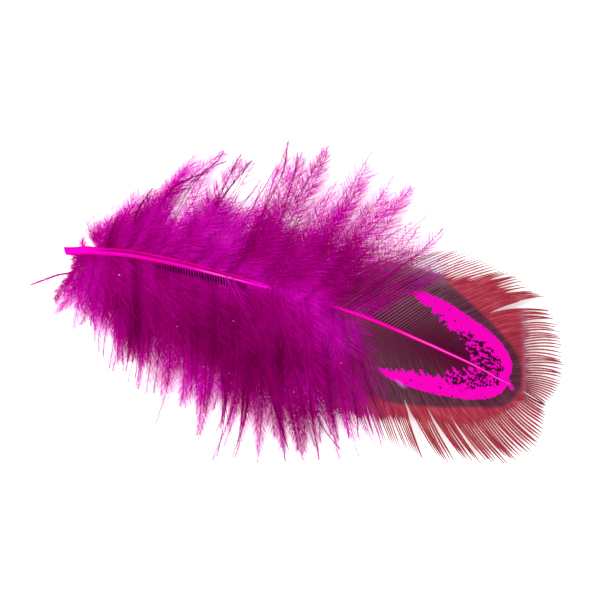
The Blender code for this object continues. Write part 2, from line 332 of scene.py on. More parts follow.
def linear(red, green, blue):
    """A display colour from 0 to 255 as linear red, green, blue and alpha."""
    channels = (value / 255 for value in (red, green, blue))
    return (*(c / 12.92 if c <= 0.04045 else ((c + 0.055) / 1.055) ** 2.4 for c in channels), 1.0)


def under_light(level, red, green, blue):
    """The surface colour that shows as this display colour where the light has this level."""
    return (*(min(channel / level, 0.95) for channel in linear(red, green, blue)[:3]), 1.0)


class Nodes:
    """Builds the node tree of one material."""

    def __init__(self, name):
        self.material = bpy.data.materials.new(name)
        self.material.use_nodes = True
        self.tree = self.material.node_tree
        self.tree.nodes.clear()

    def add(self, kind, inputs=None, **settings):
        """Adds a node with settings. An input is a number, a colour or another node's output."""
        node = self.tree.nodes.new("ShaderNode" + kind)
        for key, value in settings.items():
            setattr(node, key, value)
        for key, value in (inputs or {}).items():
            socket = node.inputs[key]
            if isinstance(value, bpy.types.NodeSocket):
                self.tree.links.new(value, socket)
            else:
                socket.default_value = value
        return node

    def value(self, name):
        """A named value that the mesh carries for each point."""
        return self.add("Attribute", attribute_name=name).outputs["Fac"]

    def math(self, operation, *numbers, clamp=False):
        return self.add("Math", dict(enumerate(numbers)), operation=operation, use_clamp=clamp).outputs[0]

    def swing(self, noise, amount):
        """Noise between 0 and 1 as a swing of this amount around 0."""
        return self.math("MULTIPLY", self.math("SUBTRACT", noise, 0.5), amount)

    def ramp(self, factor, stops):
        """A colour ramp with a stop for each pair of place and colour."""
        node = self.add("ValToRGB", {"Fac": factor})
        elements = node.color_ramp.elements
        while len(elements) < len(stops):
            elements.new(0.5)
        for element, (place, colour) in zip(elements, stops):
            element.position = place
            element.color = colour
        return node.outputs["Color"]

    def shades(self, factor, low, high, *colours):
        """A ramp through colours at even steps of factor from low to high."""
        return self.ramp(factor, list(zip(np.linspace(low, high, len(colours)), colours)))

    def fade(self, number, start, end):
        """0 where number is at start or before it, 1 from end on, and smooth between."""
        node = self.add(
            "MapRange", {"Value": number, "From Min": start, "From Max": end}, interpolation_type="SMOOTHSTEP"
        )
        return node.outputs[0]

    def blend(self, factor, a, b):
        """Colour a where factor is 0, and b where it is 1."""
        node = self.add("Mix", {"Factor": factor}, data_type="RGBA")
        for key, value in (("A", a), ("B", b)):
            socket = next(s for s in node.inputs if s.name == key and s.type == "RGBA")
            if isinstance(value, bpy.types.NodeSocket):
                self.tree.links.new(value, socket)
            else:
                socket.default_value = value
        return next(s for s in node.outputs if s.type == "RGBA")

    def finish(self, shader):
        self.add("OutputMaterial", {"Surface": shader})
        return self.material

    def keratin(self, colour, through, share, roughness, shine, normal=None):
        """Thin keratin: a dull surface that lets a share of the light through."""
        inputs = {"Base Color": colour, "Roughness": roughness, "Specular IOR Level": shine}
        if normal:
            inputs["Normal"] = normal
        surface = self.add("BsdfPrincipled", inputs)
        glow = self.add("BsdfTranslucent", {"Color": through})
        mixed = self.add("MixShader", {"Fac": share})
        self.tree.links.new(surface.outputs[0], mixed.inputs[1])
        self.tree.links.new(glow.outputs[0], mixed.inputs[2])
        return self.finish(mixed.outputs[0])


def down_material():
    """Dyed down: deep magenta where it is thick, brighter where tone is high, and pale dust above 1."""
    nodes = Nodes("dyed_down")
    place = nodes.add("TexCoord").outputs["Object"]
    patches = nodes.add("TexNoise", {"Vector": place, "Scale": PATCH_SCALE, "Detail": 3.0}).outputs["Fac"]
    tone = nodes.math("ADD", nodes.value("tone"), nodes.swing(patches, PATCH_SWING))
    tone = nodes.math("DIVIDE", tone, DUST, clamp=True)
    dye = [
        (0.0, 88, 0, 48), (0.25, 138, 0, 96), (0.50, 186, 1, 141), (0.72, 220, 6, 202), (0.86, 236, 60, 214),
        (1.0, 250, 225, 240),
    ]
    lit = [(0.0, 140, 0, 84), (0.36, 212, 0, 160), (0.72, 242, 6, 226), (1.0, 250, 225, 240)]
    surface = nodes.ramp(tone, [(stop, under_light(DOWN_LIGHT, *colour)) for stop, *colour in dye])
    through = nodes.ramp(tone, [(stop, linear(*colour)) for stop, *colour in lit])
    return nodes.keratin(surface, through, share=0.5, roughness=0.8, shine=0.0)


def vane_material():
    """The vane's markings, drawn over distances from their outlines that the mesh carries."""
    nodes = Nodes("marked_vane")
    value, fade, blend = nodes.value, nodes.fade, nodes.blend
    coordinate = nodes.add("CombineXYZ", {"X": value("barb_index"), "Y": value("along")}).outputs[0]

    def noise(across, along, detail):
        place = nodes.add("Mapping", {"Vector": coordinate, "Scale": (across, along, 1.0)}).outputs[0]
        return nodes.add("TexNoise", {"Vector": place, "Scale": 1.0, "Detail": detail}).outputs["Fac"]

    def colour(red, green, blue):
        return under_light(VANE_LIGHT, red, green, blue)

    streaks, ragged, blots = noise(*STREAKS), noise(*RAGGED), noise(*BLOTS)
    rust = nodes.shades(streaks, 0.3, 0.7, colour(158, 40, 62), colour(176, 54, 76), colour(196, 84, 100))
    free = nodes.shades(streaks, 0.3, 0.7, colour(158, 44, 58), colour(176, 64, 78), colour(196, 92, 102))
    outer = blend(fade(value("web"), *FRAYED_FADE), rust, free)
    outer = blend(value("dusk"), outer, colour(112, 28, 42))
    outer = blend(value("mauve"), outer, colour(176, 104, 128))
    dark = nodes.shades(streaks, 0.25, 0.75, colour(74, 30, 50), colour(94, 50, 68), colour(118, 74, 90))
    core = blend(value("core"), dark, colour(84, 8, 48))
    hazy = nodes.math("MULTIPLY", fade(value("web"), *HAZY_FADE), value("early"))
    core = blend(hazy, core, colour(170, 118, 142))
    dark_edge = nodes.math("ADD", value("dark"), nodes.swing(streaks, DARK_SWING))
    ground = blend(fade(dark_edge, *DARK_FADE), outer, core)
    pale = nodes.math("MULTIPLY", value("ridge"), value("pale"))
    ground = blend(pale, ground, colour(206, 150, 176))

    band_edge = nodes.math("ADD", value("band"), nodes.swing(streaks, BAND_SWING))
    raggedness = nodes.math("MULTIPLY", nodes.swing(ragged, RAGGED_SWING), value("inner"))
    band = fade(nodes.math("ADD", band_edge, raggedness), *BAND_FADE)
    flecks = nodes.math("ADD", nodes.swing(blots, BLOT_SWING), value("mottle"))
    black = nodes.math("MULTIPLY", fade(flecks, *BLOT_FADE), band)
    shown = blend(band, ground, colour(246, 1, 194))
    shown = blend(black, shown, colour(58, 6, 34))
    shown = blend(value("lilac"), shown, colour(206, 120, 214))
    shown = blend(value("fold"), shown, colour(104, 24, 48))
    shown = blend(value("haze"), shown, colour(162, 46, 116))
    through = blend(0.35, shown, linear(255, 140, 150))
    return nodes.keratin(shown, through, share=0.20, roughness=0.60, shine=0.02)


def shaft_material():
    """Smooth dyed keratin, red along its sides in the vane, with crimson painted shade in the groove and a
    pale painted highlight along its top.
    """
    nodes = Nodes("dyed_shaft")
    place = nodes.add("TexCoord").outputs["Object"]
    stretched = nodes.add("Mapping", {"Vector": place, "Scale": GRAIN_SCALE}).outputs[0]
    grain = nodes.add("TexNoise", {"Vector": stretched, "Scale": 1.0, "Detail": 3.0}).outputs["Fac"]

    def colour(red, green, blue):
        return under_light(SHAFT_LIGHT, red, green, blue)

    horn = nodes.shades(grain, 0.3, 0.7, colour(238, 0, 178), colour(250, 2, 206), colour(255, 12, 226))
    red = nodes.blend(nodes.value("edge"), horn, colour(236, 0, 84))
    # Painted shade: the groove is drawn a darker crimson.
    grooved = nodes.blend(nodes.value("groove"), red, colour(132, 0, 52))
    # Painted highlight: pale colour for a glint and a line along the top of the shaft.
    crested = nodes.blend(nodes.value("crest"), grooved, colour(255, 150, 240))
    through = nodes.blend(0.3, crested, linear(255, 20, 225))
    bump = nodes.add("Bump", {"Height": grain, "Strength": 0.15, "Distance": GRAIN_HEIGHT * MM}).outputs[0]
    return nodes.keratin(crested, through, share=0.10, roughness=0.50, shine=0.0, normal=bump)


def lit_table():
    """A white table that is lit a little from inside, so that shadows on it stay pale."""
    nodes = Nodes("lit_white_table")
    shader = nodes.add(
        "BsdfPrincipled",
        {
            "Base Color": (0.92, 0.92, 0.92, 1.0),
            "Roughness": 0.9,
            "Emission Color": (1.0, 1.0, 1.0, 1.0),
            "Emission Strength": TABLE_GLOW,
        },
    )
    return nodes.finish(shader.outputs[0])


# Shaft

SHAFT_RINGS = 190
SHAFT_SIDES = 24
GROOVE_PLACE, GROOVE_WIDTH, GROOVE_DEPTH = 0.30, 0.32, 0.60
# The groove with its painted shade, a painted glint, a painted pale highlight line and red sides along
# the shaft: where in u they begin and end, and their places, widths and amounts across it.
GROOVE_STARTS, GROOVE_ENDS = (2.0, 6.0), (21.0, 28.0)
GLINT_STARTS, GLINT_ENDS = (16.0, 19.0), (20.0, 24.0)
GLINT_PLACE, GLINT_WIDTH, GLINT_AMOUNT = -0.42, 0.14, 0.6
HIGHLIGHT_LINE_STARTS, HIGHLIGHT_LINE_PLACE, HIGHLIGHT_LINE_WIDTH, HIGHLIGHT_LINE_AMOUNT = (41.0, 46.0), 0.0, 0.22, 0.5
RED_STARTS, LOW_RED_ENDS, LOW_RED_AMOUNT, RED_PLACES = (31.0, 35.0), (18.0, 26.0), 0.45, (0.35, 0.85)
QUILL_SWELL, SWELL_ENDS = 0.12, (1.5, 5.0)
CUT_SLANT, CUT_REACH = 0.35, 1.2


def make_shaft():
    """The quill and rachis with a groove along the upper face and a slanted cut end."""
    u = np.linspace(0.0, SHAFT_END, SHAFT_RINGS)
    centres = shaft_at(u)
    radius = smooth_through(SHAFT, u)[:, 2] * (1 + QUILL_SWELL * (1 - smoothstep(*SWELL_ENDS, u)))
    tangents, sideways, upward = frames_along(centres)
    turns = 2 * np.pi * np.arange(SHAFT_SIDES) / SHAFT_SIDES
    across, height = np.cos(turns), np.sin(turns)
    top = height > 0
    grooved = smoothstep(*GROOVE_STARTS, u) * (1 - smoothstep(*GROOVE_ENDS, u))
    # The mask that sinks the groove also carries its painted shade.
    groove = grooved[:, None] * (hump(across, GROOVE_PLACE, GROOVE_WIDTH) * top)[None]
    height = height[None] - GROOVE_DEPTH * groove
    cut = -CUT_SLANT * across[None] * (1 - smoothstep(0.0, CUT_REACH, u))[:, None]
    rings = (
        centres[:, None]
        + sideways[:, None] * (across[None] * radius[:, None])[..., None]
        + upward[:, None] * (height * radius[:, None])[..., None]
        + tangents[:, None] * (cut * radius[:, None])[..., None]
    )
    # Painted highlights along the top of the shaft: a glint among the down and a pale line in the vane.
    glinting = smoothstep(*GLINT_STARTS, u) * (1 - smoothstep(*GLINT_ENDS, u))
    glint = GLINT_AMOUNT * hump(across, GLINT_PLACE, GLINT_WIDTH) * top * glinting[:, None]
    line = HIGHLIGHT_LINE_AMOUNT * hump(across, HIGHLIGHT_LINE_PLACE, HIGHLIGHT_LINE_WIDTH) * top * smoothstep(*HIGHLIGHT_LINE_STARTS, u)[:, None]
    red = smoothstep(*RED_STARTS, u) + LOW_RED_AMOUNT * (1 - smoothstep(*LOW_RED_ENDS, u))
    strands = Strands()
    strands.add(
        rings.reshape(1, -1, 3),
        capped_tube_triangles(SHAFT_RINGS, SHAFT_SIDES),
        groove=groove.reshape(1, -1),
        crest=(glint + line).reshape(1, -1),
        edge=(smoothstep(*RED_PLACES, np.abs(across)) * red[:, None]).reshape(1, -1),
    )
    strands.make("shaft", "shaft", shaft_material())


# Down

BARB_STATIONS = 26
BARB_SPACING = 0.34
# The lower side has more barbs between these roots.
CROWDED_FROM, CROWDED_TO = 4.3, 8.5
BEFORE_FIRST_LOCK, AFTER_LAST_LOCK = 0.5, 0.6
ROOT_NOISE, MIDDLE_NOISE, TIP_NOISE = 0.07, 0.30, 0.70
# How far the outer part of a barb is drawn to its lock, and from where to where.
CLUMPING, CLUMPED = 0.62, (0.50, 1.00)
# Waves of the barbs to their sides: half turns in a lock's length, and size.
WAVES = [(2.2, 0.20), (5.1, 0.07)]
FLOOR_GAP, LOWEST_BARB, HIGHEST = 0.03, 0.12, 4.0

# The two layers of down: how long their barbs are against their locks, how deep they begin under the
# shaft's centre line, how much of the rise they take, their tone, with the raised layer painted lighter
# than the lying one beneath it, and the lift of their rami.
LENGTH_SHARES = {"lying": (0.60, 1.00), "raised": (0.70, 1.06)}
LEADING_SHARES = 0.97, 1.04
ROOT_DROP = {"lying": 0.42, "raised": 0.12}
RISEN_SHARES = {"lying": (0.0, 0.40), "raised": (0.55, 0.90)}
LAYER_PAINTED_LIGHT = {"lying": 0.0, "raised": 0.14}
RAMUS_LIFT = {"lying": 0.0, "raised": 0.14}
BARB_TONE, BARB_TONE_NOISE = 0.5, 0.10
# Heights at even steps along a lock: shares of its root's height, and rises above the root.
LYING_HEIGHTS = [1.00, 0.58, 0.36, 0.24, 0.16]
RAISED_RISES = [0.00, 0.72, 0.72, 0.30, -0.60]

# Between these roots the raised barbs begin beyond the shaft and cross over it.
COVER_STARTS, COVER_ENDS, COVER_SHARES = (22.4, 28.4), (32.8, 33.8), (0.5, 1.2)
CROSSING, COVER_LIFT, COVER_LENGTH = 0.9, 0.50, 0.30

RAMUS_SIDES = 3
RAMUS_RADIUS, RAMUS_TIP_RADIUS, RAMUS_TAPER = 0.060, 0.030, 1.3
# This share of the rami is dark towards the tip, and the rest a little bright.
DARK_SHARE, RAMUS_CONTRAST, CONTRAST_FADE = 0.60, (-0.68, 0.20), (0.2, 0.9)

BARBULE_LENGTH, BARBULE_SHARES = 2.3, (0.50, 1.15)
BARBULE_HALF_WIDTH = {"lying": 0.042, "raised": 0.0275}
BARBULE_STOPS = (0.0, 0.38, 0.72, 1.0)
STOP_TAPER, TIP_FINENESS = 0.55, 0.35
BARBULE_ANGLE, ANGLE_NOISE, BARBULE_CURL = 70.0, 7.0, 18.0
BARBULE_TIP_ANGLE = {"upper": 42.0, "lower": 30.0}
# How the barbules stand and lie: turns about the barb in degrees, and noise of the way they face.
TIPWARD_TILT = {"upper": -12.0, "lower": 12.0}
BARB_ROLL_NOISE, BARBULE_ROLL, BARBULE_ROLL_NOISE, FACING_NOISE = 10.0, 4.0, 9.0, 0.55
TIPWARD_LONGER = 0.14
SHORTER_FROM, SHORTER_BY, ROOT_RAMP = 0.80, 0.50, 0.10
# Barbules near the shaft of the feather are shorter.
QUILL_END_SHARE, QUILL_END_RAMP = 0.75, (3.0, 6.5)
# Distances between barbules near the root and at the tip, and how much of a barb's end is thinner.
BARBULE_SPACING, SPACING_NOISE, DENSITY_STEPS = (0.0445, 0.150), 0.3, 60
THINNING_LENGTH, THINNING_SHARE = 7.0, 0.44
# Over the vane barbs have fewer barbules.
SPARSER_FROM, SPARSER_TO, SPARSENESS = {"upper": 31.5, "lower": 32.6}, 36.0, 5.0
BARBULE_TONE_NOISE, BAND_CONTRAST, BAND_PERIOD, BAND_SHIFT = 0.09, 0.11, 0.38, 2.4
TIP_LIGHTENING, LIGHTER_FADE = {"upper": 0.26, "lower": 0.12}, (0.40, 0.90)
# Folded barbs are darker, and their barbules lie closer to them.
FOLDED_SHARE, FOLDED_TONE, FOLDED_LENGTH = {"lying": 0.05, "raised": 0.12}, -0.22, 0.8
FOLDED_ANGLES, OPEN_ANGLES = (0.3, 0.6), (0.85, 1.1)
# The undercoat: short wide barbules at the first stations of the lying barbs, drawn darker as painted shade.
UNDERCOAT_STATIONS, UNDERCOAT_PAINTED_SHADE = 5, -0.12
UNDERCOAT = {"spacing": (0.045, 0.045), "length": 1.3, "half_width": 0.045}

# Soft spots in u and v, with radius and amount: of the down's tone, of barbules left out, and of
# barbules made shorter.
TONE_SPOTS = [
    (3.6, -3.7, 4.0, 0.20), (31.2, 1.9, 4.2, 0.40), (15.5, 6.7, 9.0, 0.18), (6.0, 5.5, 4.0, 0.15),
    (11.2, 8.6, 2.4, 0.15), (10.2, -4.8, 3.4, -0.22), (7.9, -7.4, 2.2, 0.20), (2.6, -5.0, 2.6, 0.10),
    (17.0, -9.6, 2.4, 0.20), (22.6, -11.0, 3.0, 0.22), (23.0, 3.4, 1.6, 0.30), (17.2, 10.6, 4.0, 0.10),
    (24.4, -4.3, 5.0, -0.18), (26.8, -9.4, 3.6, -0.14), (30.8, -3.4, 3.0, -0.14), (32.7, -12.0, 3.0, -0.20),
    (32.2, 6.4, 4.0, -0.20), (26.0, 11.0, 5.0, 0.10), (24.8, 2.9, 0.8, 0.35), (26.3, 2.95, 0.8, 0.35),
    (27.8, 3.0, 0.8, 0.30), (29.3, 3.0, 0.8, 0.20), (37.0, 10.0, 4.0, 0.12), (36.6, 0.8, 2.6, 0.38),
    (11.5, 7.4, 2.0, 0.14), (18.5, 9.5, 2.2, 0.18), (30.4, 13.0, 2.2, 0.15), (21.9, -10.1, 1.5, 0.12),
]
THIN_SPOTS = [
    (22.2, 8.0, 3.0, 0.30), (26.0, 12.6, 3.4, 0.55), (13.0, 11.6, 2.6, 0.55), (32.5, 15.0, 4.0, 0.18),
    (34.6, 11.6, 2.8, 0.45), (27.4, 17.8, 4.0, 0.52), (37.2, 14.4, 3.2, 0.55), (21.6, 15.2, 3.2, 0.55),
    (16.5, 13.0, 3.0, 0.55), (19.2, 12.6, 3.0, 0.52), (18.8, 17.3, 2.5, 0.35), (25.8, 11.2, 1.5, 0.40),
    (27.3, 14.7, 1.5, 0.14), (32.0, 16.1, 1.5, 0.22), (26.6, 17.1, 1.4, 0.15),
    (1.9, 4.7, 1.6, 0.60), (3.4, 7.0, 1.5, 0.40), (1.2, -1.2, 1.2, 0.55),
    (9.6, 9.6, 2.4, 0.25), (19.8, 9.8, 2.6, 0.25), (30.2, 11.6, 2.2, 0.30), (11.2, 8.4, 2.0, 0.30),
]
SHORT_SPOTS = [
    (17.0, -14.6, 2.4, 0.60), (24.4, -12.6, 2.8, 0.50), (26.4, -16.0, 3.0, 0.50), (38.0, -10.8, 3.2, 0.45),
    (24.3, 16.0, 1.8, -0.60), (31.3, 18.5, 1.8, -0.60),
    (1.0, -1.8, 2.0, 0.50), (11.9, -11.6, 2.4, 0.85), (8.2, -9.0, 2.0, 0.70), (5.3, -7.6, 1.6, 0.50),
]
GAP_OUTLINE = [
    (10.8, 6.9), (11.0, 8.8), (11.6, 11.2), (12.7, 12.8), (13.2, 11.4), (13.2, 9.2), (12.6, 8.0), (12.0, 6.9),
]
GAP_MARGIN, GAP_MARGIN_NOISE = 0.2, 0.45

# Where the barbs below the shaft stand bare, and painted shade darkens the down there into dark slots.
SLOTS_FROM, SLOTS_TO, SLOT_LENGTH, SLOT_PAINTED_SHADE = 11.8, 21.5, 1.15, -0.52
BARE_LENGTH = 0.10
RIB_SLOPE, RIB_SLOPE_NOISE, RIB_BEND = -72.0, 1.5, 0.10
RIB_LENGTH, RIB_SHARES = 1.5, (0.85, 1.15)
RIB_LIFT, RIB_RISE = 0.20, 0.20

# Single barbs that stand out: folded dark ones and stray bright ones, each with its way in u and v.
DARK_BARBS = [
    [(9.6, 2.2), (8.9, 5.9), (10.3, 10.0), (11.4, 12.0), (14.4, 14.6)],
    [(10.4, 2.3), (10.6, 6.4), (12.2, 11.6), (14.8, 15.7), (15.3, 17.3)],
    [(10.9, 2.3), (11.6, 6.8), (12.9, 12.2), (14.6, 15.0), (16.0, 16.3)],
    [(15.5, 2.6), (15.8, 8.0), (16.5, 11.9), (17.5, 17.7)],
    [(16.2, 2.6), (15.7, 8.4), (16.8, 11.8), (18.0, 14.6), (19.1, 17.4)],
    [(16.6, 2.6), (16.0, 8.2), (16.9, 11.6), (18.2, 15.1), (18.7, 17.1)],
    [(23.8, 2.9), (24.5, 11.3), (24.6, 17.1), (24.1, 19.9)],
    [(21.8, 2.9), (22.2, 11.2), (23.1, 16.7), (22.6, 20.8)],
    [(7.8, 1.9), (7.3, 5.5), (7.7, 8.4), (8.2, 10.4)],
    [(16.8, 2.6), (20.7, -4.0), (23.7, -10.2), (24.9, -13.1), (26.7, -16.3)],
    [(14.9, 2.5), (19.1, -4.5), (21.6, -10.9), (22.2, -14.3)],
    [(16.2, 2.6), (21.0, -5.2), (24.0, -10.8), (24.6, -14.3)],
    [(21.9, 2.8), (27.3, -5.9), (30.4, -10.8), (33.6, -15.5)],
    [(27.7, 2.9), (33.1, -6.8), (36.4, -11.2), (39.7, -13.7)],
    [(32.8, 2.9), (37.5, -4.2), (40.1, -8.3), (41.3, -11.4)],
    [(8.7, 2.0), (12.0, -4.1), (13.3, -7.5), (14.0, -10.9)],
    [(17.4, 2.6), (22.6, -6.1), (24.8, -13.1), (25.4, -18.8)],
    [(19.4, 2.7), (25.1, -5.3), (27.3, -12.4), (27.2, -18.5)],
]
BRIGHT_BARBS = [
    [(20.9, 2.8), (25.4, -2.6), (28.0, -5.7), (31.6, -12.4), (33.2, -16.0)],
    [(25.8, 2.9), (32.5, -6.9), (36.3, -10.3), (39.6, -13.6)],
    [(31.0, 3.0), (37.8, -5.3), (40.1, -9.2), (41.7, -11.9)],
    [(32.2, 2.9), (39.0, -5.0), (42.7, -9.0), (44.6, -12.1)],
    [(20.0, 2.8), (26.8, -4.2), (28.6, -5.8), (29.8, -7.1)],
    [(27.5, 3.2), (27.7, 5.8), (27.9, 7.4), (28.1, 9.0)],
]
PALE_BARB = [(21.3, 6.6), (21.3, 8.8), (22.3, 10.9), (23.3, 13.1)]
STRAY_BARB = [(2.7, 0.5), (2.0, -1.9), (-0.1, -3.2), (-2.95, -5.3)]
QUILL_TUFT = [
    [(3.3, 2.0), (2.2, 3.2), (1.4, 4.4)],
    [(3.4, 2.0), (2.7, 3.6), (2.1, 5.2)],
    [(3.6, 2.0), (3.2, 3.4), (3.0, 4.8)],
    [(2.2, 0.9), (1.7, 1.6), (1.5, 2.2)],
    [(1.5, 0.0), (1.2, -0.8), (1.9, -1.4)],
    [(2.0, 0.1), (1.8, -1.1), (1.0, -1.8)],
]

# Heights along the single barbs: shares of their length, and the height there.
EMERGING = {
    "upper": ([0, 0.42, 0.60, 0.85, 1], [1.0, 1.0, 2.8, 2.1, 1.2]),
    "lower": ([0, 0.58, 0.76, 1], [1.2, 1.0, 3.2, 1.9]),
}
ON_TOP = [0, 0.1, 0.6, 0.85, 1], [2.9, 3.2, 3.0, 2.1, 1.2]
AT_QUILL = [0, 0.5, 1], [0.5, 0.5, 0.3]
# Their rami and barbules, as settings of add_rami and add_barbules.
DARK_RAMUS = {"tone": 0.10, "radius": 0.055, "lighter": 0.0}
DARK_BARBULES = {"tone": 0.20, "bare": 0.5, "spacing": (0.10, 0.16), "length": 1.3, "fold": 0.20}
BRIGHT_RAMUS = {"tone": 0.98, "radius": 0.058}
BRIGHT_BARBULES = {"tone": 0.7, "bare": 0.5, "spacing": (0.20, 0.30), "length": 1.8, "fold": 0.7}
PALE_RAMUS = {"tone": 1.05, "radius": 0.07}
RIB_RAMUS = {"tone": 0.88, "radius": 0.075}
STRAY_RAMUS = {"tone": 0.62, "radius": 0.15, "tip_radius": 0.07}
STRAY_BARBULES = {"tone": 0.62, "bare": 0.3, "spacing": (0.07, 0.20), "length": 0.9, "fold": 0.3}
TUFT_RAMUS = {"tone": 0.7, "radius": 0.05}
TUFT_BARBULES = {"tone": 0.6, "bare": 0.2, "spacing": (0.040, 0.09), "length": 0.9, "fold": 0.8}

# Specks of dust: u, v and radius.
DUST_SPECKS = [
    (7.6, -0.9, 0.15), (16.2, -4.9, 0.09), (22.6, -2.3, 0.14), (20.7, -8.7, 0.09), (23.9, -8.6, 0.08),
    (32.2, -8.5, 0.08), (36.7, -3.4, 0.12),
]
DUST_HEIGHT, DUST_STRETCH, DUST_FLATNESS = 3.3, (0.35, 0.7), 0.4


def resampled(lines):
    """The same lines with their stations at even steps along each, and their lengths."""
    steps = np.linalg.norm(np.diff(lines, axis=1), axis=2)
    travelled = np.concatenate([np.zeros((len(lines), 1)), np.cumsum(steps, 1)], 1)
    even = [
        np.stack([np.interp(np.linspace(0, far[-1], lines.shape[1]), far, line[:, k]) for k in range(3)], 1)
        for line, far in zip(lines, travelled)
    ]
    return np.array(even), travelled[:, -1]


def down_barbs(side, locks, layer, rng):
    """Centre lines of one layer of down barbs on one side, and each barb's tone and root."""
    raised = layer == "raised"
    lock_roots, middles, tips = (np.array(column) for column in zip(*locks))
    spacing = 2 * BARB_SPACING
    first = lock_roots[0] - BEFORE_FIRST_LOCK + (BARB_SPACING if raised else 0.0)
    roots = np.arange(first, lock_roots[-1] + AFTER_LAST_LOCK, spacing)
    if side == "lower":
        roots = np.sort(np.concatenate([roots, np.arange(CROWDED_FROM, CROWDED_TO, 2 * spacing)]))
    count = len(roots)
    roots = roots + rng.uniform(-ROOT_NOISE, ROOT_NOISE, count) * spacing
    nearest = np.abs(roots[:, None] - lock_roots[None]).argmin(1)
    own_middle, own_tip = (
        np.stack([np.interp(roots, lock_roots, points[:, k]) for k in (0, 1)], 1)
        + rng.normal(0, noise, (count, 2))
        for points, noise in ((middles, MIDDLE_NOISE), (tips, TIP_NOISE))
    )
    length_share = rng.uniform(*LENGTH_SHARES[layer], count)
    if raised:
        leading = np.abs(roots[None] - lock_roots[:, None]).argmin(1)
        own_middle[leading], own_tip[leading] = middles, tips
        length_share[leading] = rng.uniform(*LEADING_SHARES, len(leading))
    covering = smoothstep(*COVER_STARTS, roots) * (1 - smoothstep(*COVER_ENDS, roots))
    covering = covering * rng.uniform(*COVER_SHARES, count) * raised

    root = shaft_at(roots)
    begin = root[:, :2] - CROSSING * covering[:, None] * unit(own_middle - root[:, :2])
    t = np.linspace(0, 1, BARB_STATIONS)[None, :, None] * length_share[:, None, None]
    flat = bowed(begin[:, None], own_middle[:, None], own_tip[:, None], t)
    lock_begin = shaft_at(lock_roots[nearest])[:, None, :2]
    lock_path = bowed(lock_begin, middles[nearest][:, None], tips[nearest][:, None], t)
    flat = flat + (lock_path - flat) * CLUMPING * smoothstep(*CLUMPED, t)
    t = t[..., 0]
    wave = 0
    for (half_turns, size), phase in zip(WAVES, rng.uniform(0, 2 * np.pi, (count, len(WAVES))).T):
        wave = wave + np.sin(half_turns * np.pi * t + phase[:, None]) * size
    along = unit(np.gradient(flat, axis=1))
    flat = flat + np.stack([-along[..., 1], along[..., 0]], -1) * (wave * t)[..., None]

    stations = np.linspace(0, 1, len(LYING_HEIGHTS))
    root_z = root[:, None, 2] - ROOT_DROP[layer]
    lying = root_z * np.interp(t, stations, LYING_HEIGHTS)
    risen = root_z + np.interp(t, stations, RAISED_RISES)
    z = lying + (risen - lying) * rng.uniform(*RISEN_SHARES[layer], count)[:, None]
    z = z + (COVER_LIFT * covering)[:, None] * (1 - smoothstep(0.0, COVER_LENGTH, t))
    # Painted light: barbs of the raised layer are drawn lighter than those of the lying layer beneath.
    tone = rng.normal(BARB_TONE, BARB_TONE_NOISE, count) + LAYER_PAINTED_LIGHT[layer]
    return np.concatenate([flat, np.maximum(z, LOWEST_BARB)[..., None]], -1), tone, roots


def in_slots(points):
    """1 for points in u and v just below the shaft where the barbs stand bare, and 0 elsewhere."""
    below = shaft_at(points[..., 0])[..., 1] - points[..., 1]
    within = (points[..., 0] > SLOTS_FROM) & (points[..., 0] < SLOTS_TO)
    return (within & (below > 0) & (below < SLOT_LENGTH)).astype(float)


def add_rami(
    strands, lines, tone, radius=RAMUS_RADIUS, tip_radius=RAMUS_TIP_RADIUS, lighter=0.12, contrast=0.0,
    painted_slot_shade=0.0,
):
    """The shafts of the barbs: thin three-sided tubes with an edge on top."""
    tone, contrast = (np.broadcast_to(each, len(lines))[:, None, None] for each in (tone, contrast))
    _, sideways, upward = frames_along(lines)
    t = np.linspace(0, 1, lines.shape[1])
    thickness = (tip_radius + (radius - tip_radius) * (1 - t) ** RAMUS_TAPER)[None, :, None, None]
    turns = 2 * np.pi * (np.arange(RAMUS_SIDES) / RAMUS_SIDES + 0.25)
    rings = lines[:, :, None] + thickness * (
        np.cos(turns)[None, None, :, None] * sideways[:, :, None]
        + np.sin(turns)[None, None, :, None] * upward[:, :, None]
    )
    rings[..., 2] = np.maximum(rings[..., 2], FLOOR_GAP)
    change = contrast * smoothstep(*CONTRAST_FADE, t)[None, :, None]
    # Painted shade: rami in the slots below the shaft are drawn darker.
    shade = np.minimum(tone + lighter + change + painted_slot_shade * in_slots(rings[..., :2]), 1.0)
    strands.add(
        rings.reshape(len(lines), -1, 3),
        capped_tube_triangles(lines.shape[1], RAMUS_SIDES),
        tone=shade.reshape(len(lines), -1),
    )


def barbule_places(lengths, spacing, bare, spread, rng):
    """Where the barbules stand: their barb's number, their place on it, and 1 or -1 for its side."""
    near, far = spacing
    grid = np.linspace(0, 1, DENSITY_STEPS)
    owner, place, side = [], [], []
    for k, length in enumerate(lengths):
        thinned = smoothstep(1 - min(THINNING_LENGTH / length, THINNING_SHARE), 1.0, grid)
        density = 1 / (near + (far - near) * thinned)
        count = np.concatenate([[0], np.cumsum((density[1:] + density[:-1]) / 2 * np.diff(grid))])
        for hand in (1.0, -1.0):
            steps = length / spread[k]
            ticks = np.arange(rng.uniform(0, 1), count[-1] * steps, 1.0)
            ticks = ticks + rng.uniform(-SPACING_NOISE, SPACING_NOISE, len(ticks))
            t = np.interp(ticks, count * steps, grid)
            t = t[t * length > bare[k]]
            owner.append(np.full(len(t), k))
            place.append(t)
            side.append(np.full(len(t), hand))
    return np.concatenate(owner), np.concatenate(place), np.concatenate(side)


